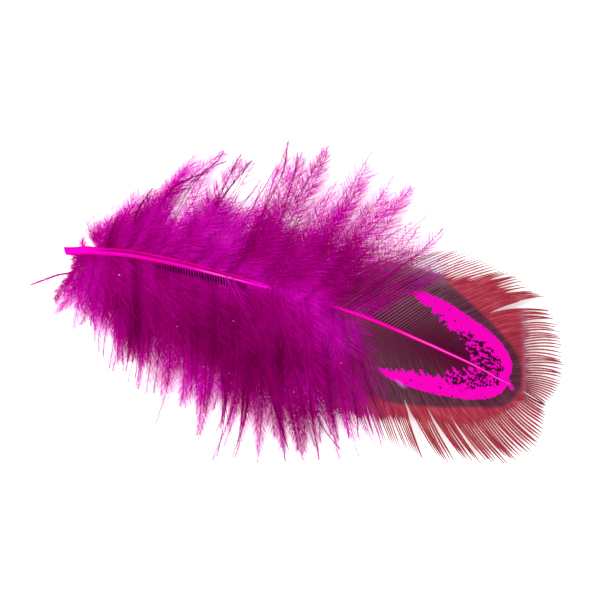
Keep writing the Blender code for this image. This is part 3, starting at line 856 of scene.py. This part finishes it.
def add_barbules(
    strands, lines, tone, rng, bare=0.0, spacing=BARBULE_SPACING, length=BARBULE_LENGTH, fold=1.0, painted_slot_shade=0.0,
    half_width=BARBULE_HALF_WIDTH["raised"], tilt=0.0, spread=1.0, tips=0.2, tip_angle=42.0,
):
    """The downy barbules on both sides of the barbs: flat strips that bend towards the barb's tip.

    tone, bare, length, fold and spread are one number or one for each barb. bare is the length without
    barbules, fold the share of their angle, and spread how many times fewer they are.
    """
    tone, bare, length, fold, spread = (
        np.broadcast_to(each, len(lines)) for each in (tone, bare, length, fold, spread)
    )
    lines, lengths = resampled(lines)
    tangents, sideways, upward = frames_along(lines)
    owner, place, side = barbule_places(lengths, spacing, bare, spread, rng)
    size, last = len(owner), lines.shape[1] - 1
    station = np.minimum((place * last).astype(int), last - 1)
    part = (place * last - station)[:, None]

    def at(array):
        return array[owner, station] * (1 - part) + array[owner, station + 1] * part

    base, along, beside, above = at(lines), unit(at(tangents)), unit(at(sideways)), unit(at(upward))
    roll = np.radians(rng.normal(tilt, BARB_ROLL_NOISE, len(lines)))[owner]
    roll = roll + np.radians(rng.normal(BARBULE_ROLL, BARBULE_ROLL_NOISE, size)) * side
    beside = beside * np.cos(roll)[:, None] + above * np.sin(roll)[:, None]
    angle = BARBULE_ANGLE + (tip_angle - BARBULE_ANGLE) * place
    angle = np.radians(angle + rng.normal(0, ANGLE_NOISE, size)) * fold[owner]
    final = angle - np.radians(BARBULE_CURL) * fold[owner]
    begins = along * np.cos(angle)[:, None] + beside * (side * np.sin(angle))[:, None]
    ends = along * np.cos(final)[:, None] + beside * (side * np.sin(final))[:, None]
    reach = length[owner] * rng.uniform(*BARBULE_SHARES, size)
    reach = reach * (1 + TIPWARD_LONGER * side * np.sign(tilt))
    reach = reach * smoothstep(-ROOT_RAMP, ROOT_RAMP, place)
    reach = reach * (1 - SHORTER_BY * smoothstep(SHORTER_FROM, 1.0, place))
    reach = reach * (1 - soft_spots(SHORT_SPOTS, base[:, :2]))
    facing = unit(above + rng.normal(0, FACING_NOISE, (size, 3)))
    rows = []
    for stop in BARBULE_STOPS:
        point = base + reach[:, None] * (begins * stop + (ends - begins) * stop**2 / 2)
        heading = begins + (ends - begins) * stop
        wide = (half_width * (1 - TIP_FINENESS * place) * (1 - STOP_TAPER * stop))[:, None]
        if stop == BARBULE_STOPS[-1]:
            rows.append(point)
        else:
            edge = unit(np.cross(heading, facing)) * wide
            rows += [point - edge, point + edge]
    rings = np.stack(rows, 1)
    rings[..., 2] = np.clip(rings[..., 2], FLOOR_GAP, HIGHEST)
    middle = rings[:, 3, :2]
    kept = rng.uniform(0, 1, size) > soft_spots(THIN_SPOTS, middle)
    kept &= signed_distance(GAP_OUTLINE, middle) < rng.normal(GAP_MARGIN, GAP_MARGIN_NOISE, size)
    shade = tone[owner] + rng.normal(0, BARBULE_TONE_NOISE, size) + soft_spots(TONE_SPOTS, middle)
    shade += tips * smoothstep(*LIGHTER_FADE, place)
    bands = 2 * np.pi * place * lengths[owner] / BAND_PERIOD
    shade += BAND_CONTRAST * np.sin(bands + BAND_SHIFT * owner)
    # Painted shade: barbules in the slots below the shaft are drawn darker.
    shade += painted_slot_shade * in_slots(middle)
    strip = np.array([(0, 1, 3), (0, 3, 2), (2, 3, 5), (2, 5, 4), (4, 5, 6)])
    strands.add(rings[kept], strip, tone=np.minimum(shade[kept], 1.0)[:, None])


def layer_of_down(side, layer, locks, rng):
    """The strands of one layer of down on one side of the shaft."""
    raised = layer == "raised"
    lines, tone, roots = down_barbs(side, locks, layer, rng)
    count = len(roots)
    slotted = (roots > SLOTS_FROM) & (roots < SLOTS_TO) & (raised and side == "lower")
    folded = rng.uniform(0, 1, count) < FOLDED_SHARE[layer]
    fold = np.where(folded, rng.uniform(*FOLDED_ANGLES, count), rng.uniform(*OPEN_ANGLES, count))
    tone = tone + FOLDED_TONE * folded
    length = BARBULE_LENGTH * (QUILL_END_SHARE + (1 - QUILL_END_SHARE) * smoothstep(*QUILL_END_RAMP, roots))
    # Painted shade for the slots below the shaft, on the lower side only.
    painted_slot_shade = SLOT_PAINTED_SHADE if side == "lower" else 0.0
    spread = 1 + (SPARSENESS - 1) * smoothstep(SPARSER_FROM[side], SPARSER_TO, roots)
    contrast = np.where(rng.uniform(0, 1, count) < DARK_SHARE, *RAMUS_CONTRAST)
    strands = Strands()
    add_rami(strands, lines + [0, 0, RAMUS_LIFT[layer]], tone, contrast=contrast, painted_slot_shade=painted_slot_shade)
    add_barbules(
        strands, lines, tone, rng, bare=np.where(slotted, SLOT_LENGTH, BARE_LENGTH),
        length=length * np.where(folded, FOLDED_LENGTH, 1.0), fold=fold, painted_slot_shade=painted_slot_shade, spread=spread,
        half_width=BARBULE_HALF_WIDTH[layer], tilt=TIPWARD_TILT[side], tips=TIP_LIGHTENING[side],
        tip_angle=BARBULE_TIP_ANGLE[side],
    )
    if not raised:
        bases = lines[:, :UNDERCOAT_STATIONS]
        # Painted shade: the undercoat under the other barbs is drawn darker.
        add_barbules(strands, bases, tone + UNDERCOAT_PAINTED_SHADE, rng, painted_slot_shade=painted_slot_shade, spread=spread, **UNDERCOAT)
    return strands


def add_single_barbs(strands, side, ways, height, rng, ramus, barbules=None):
    """Those barbs of a group that end on this side, through points in u and v, at a height along them."""
    lines = []
    for way in ways:
        if (way[-1][1] > 0) != (side == "upper"):
            continue
        steps = np.concatenate([[0], np.cumsum(np.linalg.norm(np.diff(way, axis=0), axis=1))])
        places = np.linspace(0, steps[-1], BARB_STATIONS)
        flat = smooth_through([(step, *point) for step, point in zip(steps, way)], places)
        lines.append(np.concatenate([flat, np.interp(places / steps[-1], *height)[:, None]], 1))
    if lines:
        add_rami(strands, np.array(lines), **ramus)
        if barbules:
            add_barbules(strands, np.array(lines), rng=rng, **barbules)


def make_down(side, locks, wisps, rng, material):
    """All down on one side of the shaft, in a lying and a raised layer."""
    lying = layer_of_down(side, "lying", locks, rng)
    raised = layer_of_down(side, "raised", locks + wisps, rng)
    add_single_barbs(raised, side, DARK_BARBS, EMERGING[side], rng, DARK_RAMUS, DARK_BARBULES)
    add_single_barbs(raised, side, BRIGHT_BARBS, ON_TOP, rng, BRIGHT_RAMUS, BRIGHT_BARBULES)
    add_single_barbs(raised, side, [PALE_BARB], ON_TOP, rng, PALE_RAMUS)
    if side == "lower":
        add_rami(raised, slot_ribs(rng), **RIB_RAMUS)
    add_single_barbs(raised, side, [STRAY_BARB], AT_QUILL, rng, STRAY_RAMUS, STRAY_BARBULES)
    if side == "lower":
        add_dust(raised, rng)
    add_single_barbs(raised, side, QUILL_TUFT, AT_QUILL, rng, TUFT_RAMUS, TUFT_BARBULES)
    lying.make(f"down_{side}_lying", "down", material)
    raised.make(f"down_{side}_raised", "down", material)


def slot_ribs(rng):
    """The bare bases of the barbs below the shaft, between which the dark down shows."""
    roots = np.arange(SLOTS_FROM, SLOTS_TO, BARB_SPACING)
    start = shaft_at(roots)
    slope = np.radians(RIB_SLOPE + rng.normal(0, RIB_SLOPE_NOISE, len(roots)))
    reach = RIB_LENGTH * rng.uniform(*RIB_SHARES, len(roots))
    t = np.linspace(0, 1, BARB_STATIONS)[None]
    lean = slope[:, None] + RIB_BEND * t
    u = start[:, :1] + np.cos(lean) * reach[:, None] * t
    v = start[:, 1:2] + np.sin(lean) * reach[:, None] * t
    z = start[:, 2:] + RIB_LIFT + RIB_RISE * t
    return np.stack([u, v, z], -1)


def add_dust(strands, rng):
    """Pale specks of dust that cling to the raised down: flat grains with eight faces."""
    corners = np.array([(1, 0, 0), (0, 1, 0), (-1, 0, 0), (0, -1, 0), (0, 0, 1), (0, 0, -1)], float)
    faces = np.array([(0, 1, 4), (1, 2, 4), (2, 3, 4), (3, 0, 4), (1, 0, 5), (2, 1, 5), (3, 2, 5), (0, 3, 5)])
    grains = []
    for u, v, radius in DUST_SPECKS:
        stretch = np.array([1.0, rng.uniform(*DUST_STRETCH), DUST_FLATNESS]) * radius
        grains.append(np.array([u, v, DUST_HEIGHT]) + corners * stretch)
    strands.add(np.array(grains), faces, tone=DUST)


# Vane

RIM_SPACING = 0.345
RIM_STEPS = 2000
VANE_STATIONS = 46
VANE_DROOP, VANE_HALF_SPAN = 1.15, 13.0
BEZIER_REACH = 0.36
# Turns of the barbs in degrees against a straight line from root to rim: root u, then the turn at the
# root away from the tip, and the turn at the rim towards it.
UPPER_TURNS = [(33.6, 4, 6), (42.5, 9, 14), (50.5, 15, 30), (57.5, 6, 12)]
LOWER_TURNS = [(33.6, 3, 3), (43.3, 9, 10), (52.7, 12, 14), (57.5, 6, 8)]

# Outlines of the markings and of the hooked web, in u and v.
WEB_OUTLINE = [
    (29.0, 8.6), (37.8, 9.9), (42.6, 10.6), (45.9, 10.3), (48.1, 10.8), (50.0, 11.2), (51.0, 11.8),
    (52.7, 11.5), (53.8, 11.1), (54.7, 10.3), (56.1, 9.9), (56.7, 9.0), (57.4, 6.9), (58.6, 3.4),
    (59.2, 1.0), (59.5, -0.4), (59.3, -1.5), (58.5, -2.5), (57.1, -3.8), (55.2, -5.4), (53.0, -6.4),
    (51.0, -6.8), (49.0, -7.0), (46.8, -7.3), (43.1, -8.6), (36.8, -9.3), (29.0, -9.0),
]
DARK_OUTLINE = [
    (29.0, 15.0), (43.0, 14.2), (44.6, 12.6), (45.9, 10.2), (47.2, 9.4), (48.7, 8.7), (50.1, 8.1),
    (51.7, 7.3), (53.2, 6.5), (54.4, 5.8), (55.9, 4.9), (57.3, 3.7), (58.1, 2.4), (58.6, 0.9),
    (58.7, -0.6), (58.2, -1.9), (57.3, -2.9), (55.8, -3.5), (54.2, -3.8), (52.4, -4.4), (50.5, -5.0),
    (48.8, -5.4), (47.1, -5.8), (45.2, -6.2), (43.2, -6.4), (41.8, -6.1), (39.3, -7.4), (36.4, -8.9),
    (29.0, -9.6),
]
BAND_OUTER_EDGE = [
    (42.0, 7.3), (42.9, 7.6), (44.0, 7.9), (45.6, 7.7), (47.2, 7.5), (48.9, 7.0), (50.7, 6.4), (52.4, 5.9),
    (53.8, 5.3), (55.1, 4.5), (56.3, 3.5), (57.0, 2.5), (57.2, 1.5), (57.1, 0.7), (57.2, -0.2), (56.8, -1.2),
    (56.0, -2.1), (54.9, -2.7), (53.3, -3.2), (51.6, -3.5), (49.6, -3.8), (47.6, -3.9), (45.8, -3.9),
    (44.2, -3.8), (42.5, -3.5), (41.0, -2.7),
]
BAND_INNER_EDGE = [
    (42.8, -2.5), (44.7, -2.1), (46.4, -1.8), (48.2, -1.6), (49.1, -1.7), (49.5, -0.8), (50.2, -0.3),
    (51.2, 0.0), (52.2, 0.5), (53.4, 0.7), (54.4, 0.5), (53.4, 0.9), (52.3, 1.6), (51.6, 2.1), (51.2, 3.0),
    (49.8, 3.7), (49.5, 4.2), (48.6, 4.4), (47.4, 4.9), (46.0, 5.7), (45.4, 6.1), (43.9, 6.8),
]
SPECKLED_OUTLINES = [
    [(49.3, 5.0), (50.9, 4.9), (52.7, 4.3), (54.6, 3.4), (56.0, 2.3), (56.4, 1.1), (56.0, 0.2), (54.6, 0.5),
     (53.2, 0.7), (51.9, 1.6), (51.1, 2.6), (49.8, 3.7), (48.7, 4.5)],
    [(48.9, -1.8), (49.3, -0.7), (50.2, -0.1), (51.9, 0.4), (53.7, 0.7), (55.1, 0.3), (56.3, 0.2),
     (56.2, -0.5), (55.0, -1.3), (53.7, -1.9), (52.3, -2.4), (50.7, -2.4), (49.6, -2.2)],
]
TIP_FLICK = [(56.6, 0.7), (57.2, 0.6), (58.1, -0.4), (57.8, -0.7), (57.0, 0.0)]
MAUVE_LINE = [(55.8, 10.4), (56.4, 9.0), (57.2, 6.9), (58.4, 3.4), (59.1, 1.0), (59.4, -0.4)]
LILAC_OUTLINE = [(43.7, -3.5), (44.4, -3.6), (45.3, -4.0), (44.8, -4.2), (44.0, -3.9)]
FOLD_LINE = [(60.0, -0.7), (61.7, -1.1), (62.4, -1.8)]
CORE_LINE = [(38.0, 1.4), (46.0, 2.2), (54.0, 0.9)]
PALE_SPOTS = [(40.5, 7.0, 5.0, 0.60), (39.5, -1.5, 4.0, 0.15)]
DUSK_SPOTS = [(59.4, 0.8, 2.4, 0.50), (57.6, 4.8, 2.6, 0.30)]
EARLY_BARBS = 44.0, 50.0
HAZE_SPOTS = [
    (39.8, -8.0, 2.8, 0.75), (37.5, 8.5, 3.5, 0.50), (38.0, -3.5, 3.0, 0.30), (36.4, 1.0, 2.2, 0.60),
]
# Amounts of the marks, and how wide they or their edges are.
INNER_FADE = 0.15, 0.8
MOTTLE_AMOUNT, MOTTLE_EDGE = 0.5, 0.35
CORE_WIDTH = 3.6
MAUVE_AMOUNT, MAUVE_WIDTH = 0.6, 0.35
FOLD_AMOUNT, FOLD_WIDTH = 0.8, 0.28
LILAC_AMOUNT, LILAC_EDGE, LILAC_AT_EDGE = 0.7, 0.2, 0.4

# A barb's section: places from side to side on its upper and its lower face, in half widths.
SECTION = (-1.0, -0.55, -0.26, 0.0, 0.26, 0.55, 1.0)
SECTION_BELOW = (0.9, 0.0, -0.9)
RIDGE_HEIGHT, RIDGE_HALF_WIDTH, RIDGE_TILT = 0.030, 0.3, 0.02
VANE_PLY, LOOSE_THINNING = 0.10, 0.5
THINNEST_HALF_WIDTH, WIDEST_HALF_WIDTH, OVERLAP = 0.012, 0.21, 1.03
# Half widths of the free barbs at the vane's beginning and beyond it, and the roots between.
STARTING_HALF_WIDTH, FREE_HALF_WIDTH, FREE_RAMP = 0.062, {"upper": 0.092, "lower": 0.118}, (37.0, 43.0)
LOOSE_FADE, LOOSE_NOISE = (-0.5, 0.4), 0.22
TIP_TAPER, TAPERED = 0.6, (0.88, 1.0)
REACH_NOISE, DRIFT_NOISE, DRIFT_BLUR, DRIFT_FADE = 0.014, 0.09, [0.5, 1.0, 0.5], (0.55, 1.0)


def rim_tips(rim, roots):
    """The tips in u and v of the barbs with these roots."""
    return smooth_through([(u, *point) for u, point in rim], roots)


def vane_roots(rim):
    """Roots of barbs whose outer ends stand at even distances beside each other."""
    fine = np.linspace(rim[0][0], rim[-1][0], RIM_STEPS)
    tips, roots = rim_tips(rim, fine), shaft_at(fine)[:, :2]
    along, moved = unit(tips - roots)[1:], np.diff(tips, axis=0)
    steps = np.abs(along[:, 0] * moved[:, 1] - along[:, 1] * moved[:, 0])
    walked = np.concatenate([[0], np.cumsum(steps)])
    return np.interp(np.linspace(0, walked[-1], int(walked[-1] / RIM_SPACING) + 1), walked, fine)


def vane_lines(roots, rim, turns, splits, shares, hand):
    """Centre lines of the vane's barbs with these roots, on the vane's arched sheet."""
    root = shaft_at(roots)
    start, tip = root[:, :2], rim_tips(rim, roots)
    run = tip - start
    length = np.linalg.norm(run, axis=1, keepdims=True)
    slope = np.arctan2(run[:, 1], run[:, 0])
    table = np.array(turns, float)
    away, towards = (np.radians(np.interp(roots, table[:, 0], table[:, k])) for k in (1, 2))

    def heading(angle):
        return np.stack([np.cos(angle), np.sin(angle)], 1) * length * BEZIER_REACH

    controls = start, start + heading(slope + hand * away), tip - heading(slope - hand * towards), tip
    t = shares[None, :, None]
    weights = (1 - t) ** 3, 3 * (1 - t) ** 2 * t, 3 * (1 - t) * t**2, t**3
    flat = sum(point[:, None] * weight for point, weight in zip(controls, weights))
    sideways = np.stack([-run[:, 1], run[:, 0]], 1) / length
    sideways *= -hand
    shift = np.zeros((len(roots), len(shares)))
    for split_u, opens, half_width, pushed in splits:
        nearness = np.clip(1 - np.abs(roots - split_u) / pushed, 0, 1)[:, None]
        opened = np.clip((shares[None] - opens) / (1 - opens), 0, None)
        shift += np.sign(roots - split_u)[:, None] * half_width * nearness * opened
    flat = flat + sideways[:, None] * shift[..., None]
    out = np.linalg.norm(flat - start[:, None], axis=2) / VANE_HALF_SPAN
    z = root[:, None, 2] - VANE_DROOP * out**2
    return np.concatenate([flat, z[..., None]], -1)


def marking_values(flat):
    """What the vane's material needs to know of its markings at each point in u and v."""
    band = signed_distance(BAND_OUTER_EDGE + BAND_INNER_EDGE, flat)
    speckled = np.max([signed_distance(outline, flat) for outline in SPECKLED_OUTLINES], axis=0)
    lilac = signed_distance(LILAC_OUTLINE, flat) / LILAC_EDGE + LILAC_AT_EDGE
    return {
        "band": np.maximum(band, signed_distance(TIP_FLICK, flat)),
        "inner": 1 - smoothstep(*INNER_FADE, distance_to_line(BAND_INNER_EDGE, flat)),
        "mottle": MOTTLE_AMOUNT * np.clip(speckled / MOTTLE_EDGE, 0, 1),
        "dark": signed_distance(DARK_OUTLINE, flat),
        "web": signed_distance(WEB_OUTLINE, flat),
        "core": hump(distance_to_line(CORE_LINE, flat), 0.0, CORE_WIDTH),
        "mauve": MAUVE_AMOUNT * hump(distance_to_line(MAUVE_LINE, flat), 0.0, MAUVE_WIDTH),
        "lilac": LILAC_AMOUNT * np.clip(lilac, 0, 1),
        "fold": FOLD_AMOUNT * hump(distance_to_line(FOLD_LINE, flat), 0.0, FOLD_WIDTH),
        "pale": soft_spots(PALE_SPOTS, flat),
        "dusk": soft_spots(DUSK_SPOTS, flat),
        "early": 1 - smoothstep(*EARLY_BARBS, flat[:, 0]),
        "haze": soft_spots(HAZE_SPOTS, flat),
    }


def vane_widths(side, roots, lines, rng):
    """Half widths along the vane's barbs, and how loose they are: 0 in the hooked web, 1 outside it."""
    gaps = np.linalg.norm(np.diff(lines[..., :2], axis=0), axis=2)
    gaps = np.concatenate([gaps[:1], gaps, gaps[-1:]], 0)
    touching = np.minimum(gaps[:-1], gaps[1:]) / 2
    touching = np.clip(touching, THINNEST_HALF_WIDTH, WIDEST_HALF_WIDTH) * OVERLAP
    web = signed_distance(WEB_OUTLINE, lines[..., :2].reshape(-1, 2)).reshape(touching.shape)
    loose = 1 - smoothstep(*LOOSE_FADE, web + rng.normal(0, LOOSE_NOISE, (len(roots), 1)))
    free = STARTING_HALF_WIDTH + (FREE_HALF_WIDTH[side] - STARTING_HALF_WIDTH) * smoothstep(*FREE_RAMP, roots)
    return touching + (np.minimum(free[:, None], touching) - touching) * loose, loose


def make_vane_side(side, rim, turns, splits, hand, rng, material):
    """The vane's barbs on one side of the shaft: hooked together inside, and free at the rim."""
    roots = vane_roots(rim)
    count = len(roots)
    shares = np.linspace(0, 1, VANE_STATIONS)
    lines = vane_lines(roots, rim, turns, splits, shares, hand)
    _, sideways, upward = frames_along(lines)
    reach = rng.normal(0, REACH_NOISE, (count, 1))
    drift = np.convolve(rng.normal(0, DRIFT_NOISE, count), DRIFT_BLUR, "same")[:, None]
    lines = lines + (lines[:, -1:] - lines[:, :1]) * (shares**3 * reach)[..., None]
    lines = lines + sideways * (smoothstep(*DRIFT_FADE, shares) * drift)[..., None]
    half, loose = vane_widths(side, roots, lines, rng)
    tip_taper = 1 - TIP_TAPER * smoothstep(*TAPERED, shares)[None]
    half = np.maximum(half * tip_taper, THINNEST_HALF_WIDTH)[..., None]
    ply = (VANE_PLY * (1 - LOOSE_THINNING * loose) * tip_taper)[..., None]

    across = np.array(SECTION + SECTION_BELOW)
    on_top = np.arange(len(across)) < len(SECTION)
    ridge = np.clip(1 - np.abs(across) / RIDGE_HALF_WIDTH, 0, 1) * on_top
    height = np.where(on_top, ridge * RIDGE_HEIGHT - RIDGE_TILT * across, -ply)
    rings = (
        lines[:, :, None]
        + sideways[:, :, None] * (across * half)[..., None]
        + upward[:, :, None] * height[..., None]
    )

    def of_points(numbers):
        return np.broadcast_to(numbers, height.shape).reshape(count, -1)

    travelled = shares * np.linalg.norm(lines[:, -1] - lines[:, 0], axis=1)[:, None]
    values = marking_values(rings[..., :2].reshape(-1, 2))
    strands = Strands()
    strands.add(
        rings.reshape(count, -1, 3),
        capped_tube_triangles(VANE_STATIONS, len(across)),
        ridge=of_points(ridge),
        barb_index=of_points(np.arange(count)[:, None, None] - hand * 0.5 * across),
        along=of_points(travelled[..., None]),
        **{key: numbers.reshape(count, -1) for key, numbers in values.items()},
    )
    strands.make(f"vane_{side}", "vane", material)


# Stage

# The photo's side and scale, the place of the quill's cut end in it, and the feather's slope.
PHOTO_SIZE = 612
PIXELS_PER_MM = 8.1
CUT_END_PIXEL = (64.0, 250.5)
FEATHER_SLOPE = math.radians(16.7)
LENS, SENSOR, AIM_HEIGHT = 100.0, 36.0, 1.5
FLOOR_REACH = 3.0


def make_camera():
    """A camera straight above, turned so that the feather slopes as in the photo."""
    data = bpy.data.cameras.new("camera")
    data.lens, data.sensor_width = LENS, SENSOR
    data.clip_start, data.clip_end = 0.01, 10.0
    camera = bpy.data.objects.new("camera", data)
    bpy.context.scene.collection.objects.link(camera)
    right, down = (PHOTO_SIZE / 2 - CUT_END_PIXEL[0]), (PHOTO_SIZE / 2 - CUT_END_PIXEL[1])
    u = (right * math.cos(FEATHER_SLOPE) + down * math.sin(FEATHER_SLOPE)) / PIXELS_PER_MM
    v = (right * math.sin(FEATHER_SLOPE) - down * math.cos(FEATHER_SLOPE)) / PIXELS_PER_MM
    distance = PHOTO_SIZE / PIXELS_PER_MM * LENS / SENSOR * MM
    place = Vector(to_row(np.array([u, v, AIM_HEIGHT]))) + Vector((0, 0, distance))
    camera.matrix_world = Matrix.Translation(place) @ Matrix.Rotation(FEATHER_SLOPE, 4, "Z")
    bpy.context.scene.camera = camera


def make_stage():
    """A pale surface under the feather."""
    mesh = bpy.data.meshes.new("floor")
    corners = [(x * FLOOR_REACH, y * FLOOR_REACH, 0) for x, y in ((-1, -1), (1, -1), (1, 1), (-1, 1))]
    mesh.from_pydata(corners, [], [(0, 1, 2, 3)])
    mesh.materials.append(lit_table())
    floor = bpy.data.objects.new("floor", mesh)
    bpy.context.scene.collection.objects.link(floor)


WORLD_STRENGTH = 0.85
KEY_POWER, KEY_SIZE = 6.0, 0.20
KEY_PLACE = (-0.58, 0.12, 0.60)


def make_light():
    """Bright even light all round, and one large lamp from the left of the picture."""
    scene = bpy.context.scene
    scene.view_settings.view_transform = "Standard"
    world = bpy.data.worlds.new("studio")
    world.use_nodes = True
    background = world.node_tree.nodes["Background"]
    background.inputs["Color"].default_value = (1.0, 1.0, 1.0, 1.0)
    background.inputs["Strength"].default_value = WORLD_STRENGTH
    scene.world = world
    data = bpy.data.lights.new("key", "AREA")
    data.shape, data.size, data.energy = "DISK", KEY_SIZE, KEY_POWER
    key = bpy.data.objects.new("key", data)
    scene.collection.objects.link(key)
    place = Matrix.Rotation(FEATHER_SLOPE, 4, "Z") @ Vector(KEY_PLACE)
    key.location = place
    key.rotation_euler = (-place).to_track_quat("-Z", "Y").to_euler()


def main():
    rng = np.random.default_rng(SEED)
    make_camera()
    make_stage()
    make_light()
    make_shaft()
    down = down_material()
    make_down("upper", UPPER_SIDE_LOCKS, UPPER_SIDE_WISPS, rng, down)
    make_down("lower", LOWER_SIDE_LOCKS, LOWER_SIDE_WISPS, rng, down)
    vane = vane_material()
    make_vane_side("upper", UPPER_RIM, UPPER_TURNS, UPPER_SPLITS, 1.0, rng, vane)
    make_vane_side("lower", LOWER_RIM, LOWER_TURNS, LOWER_SPLITS, -1.0, rng, vane)


main()
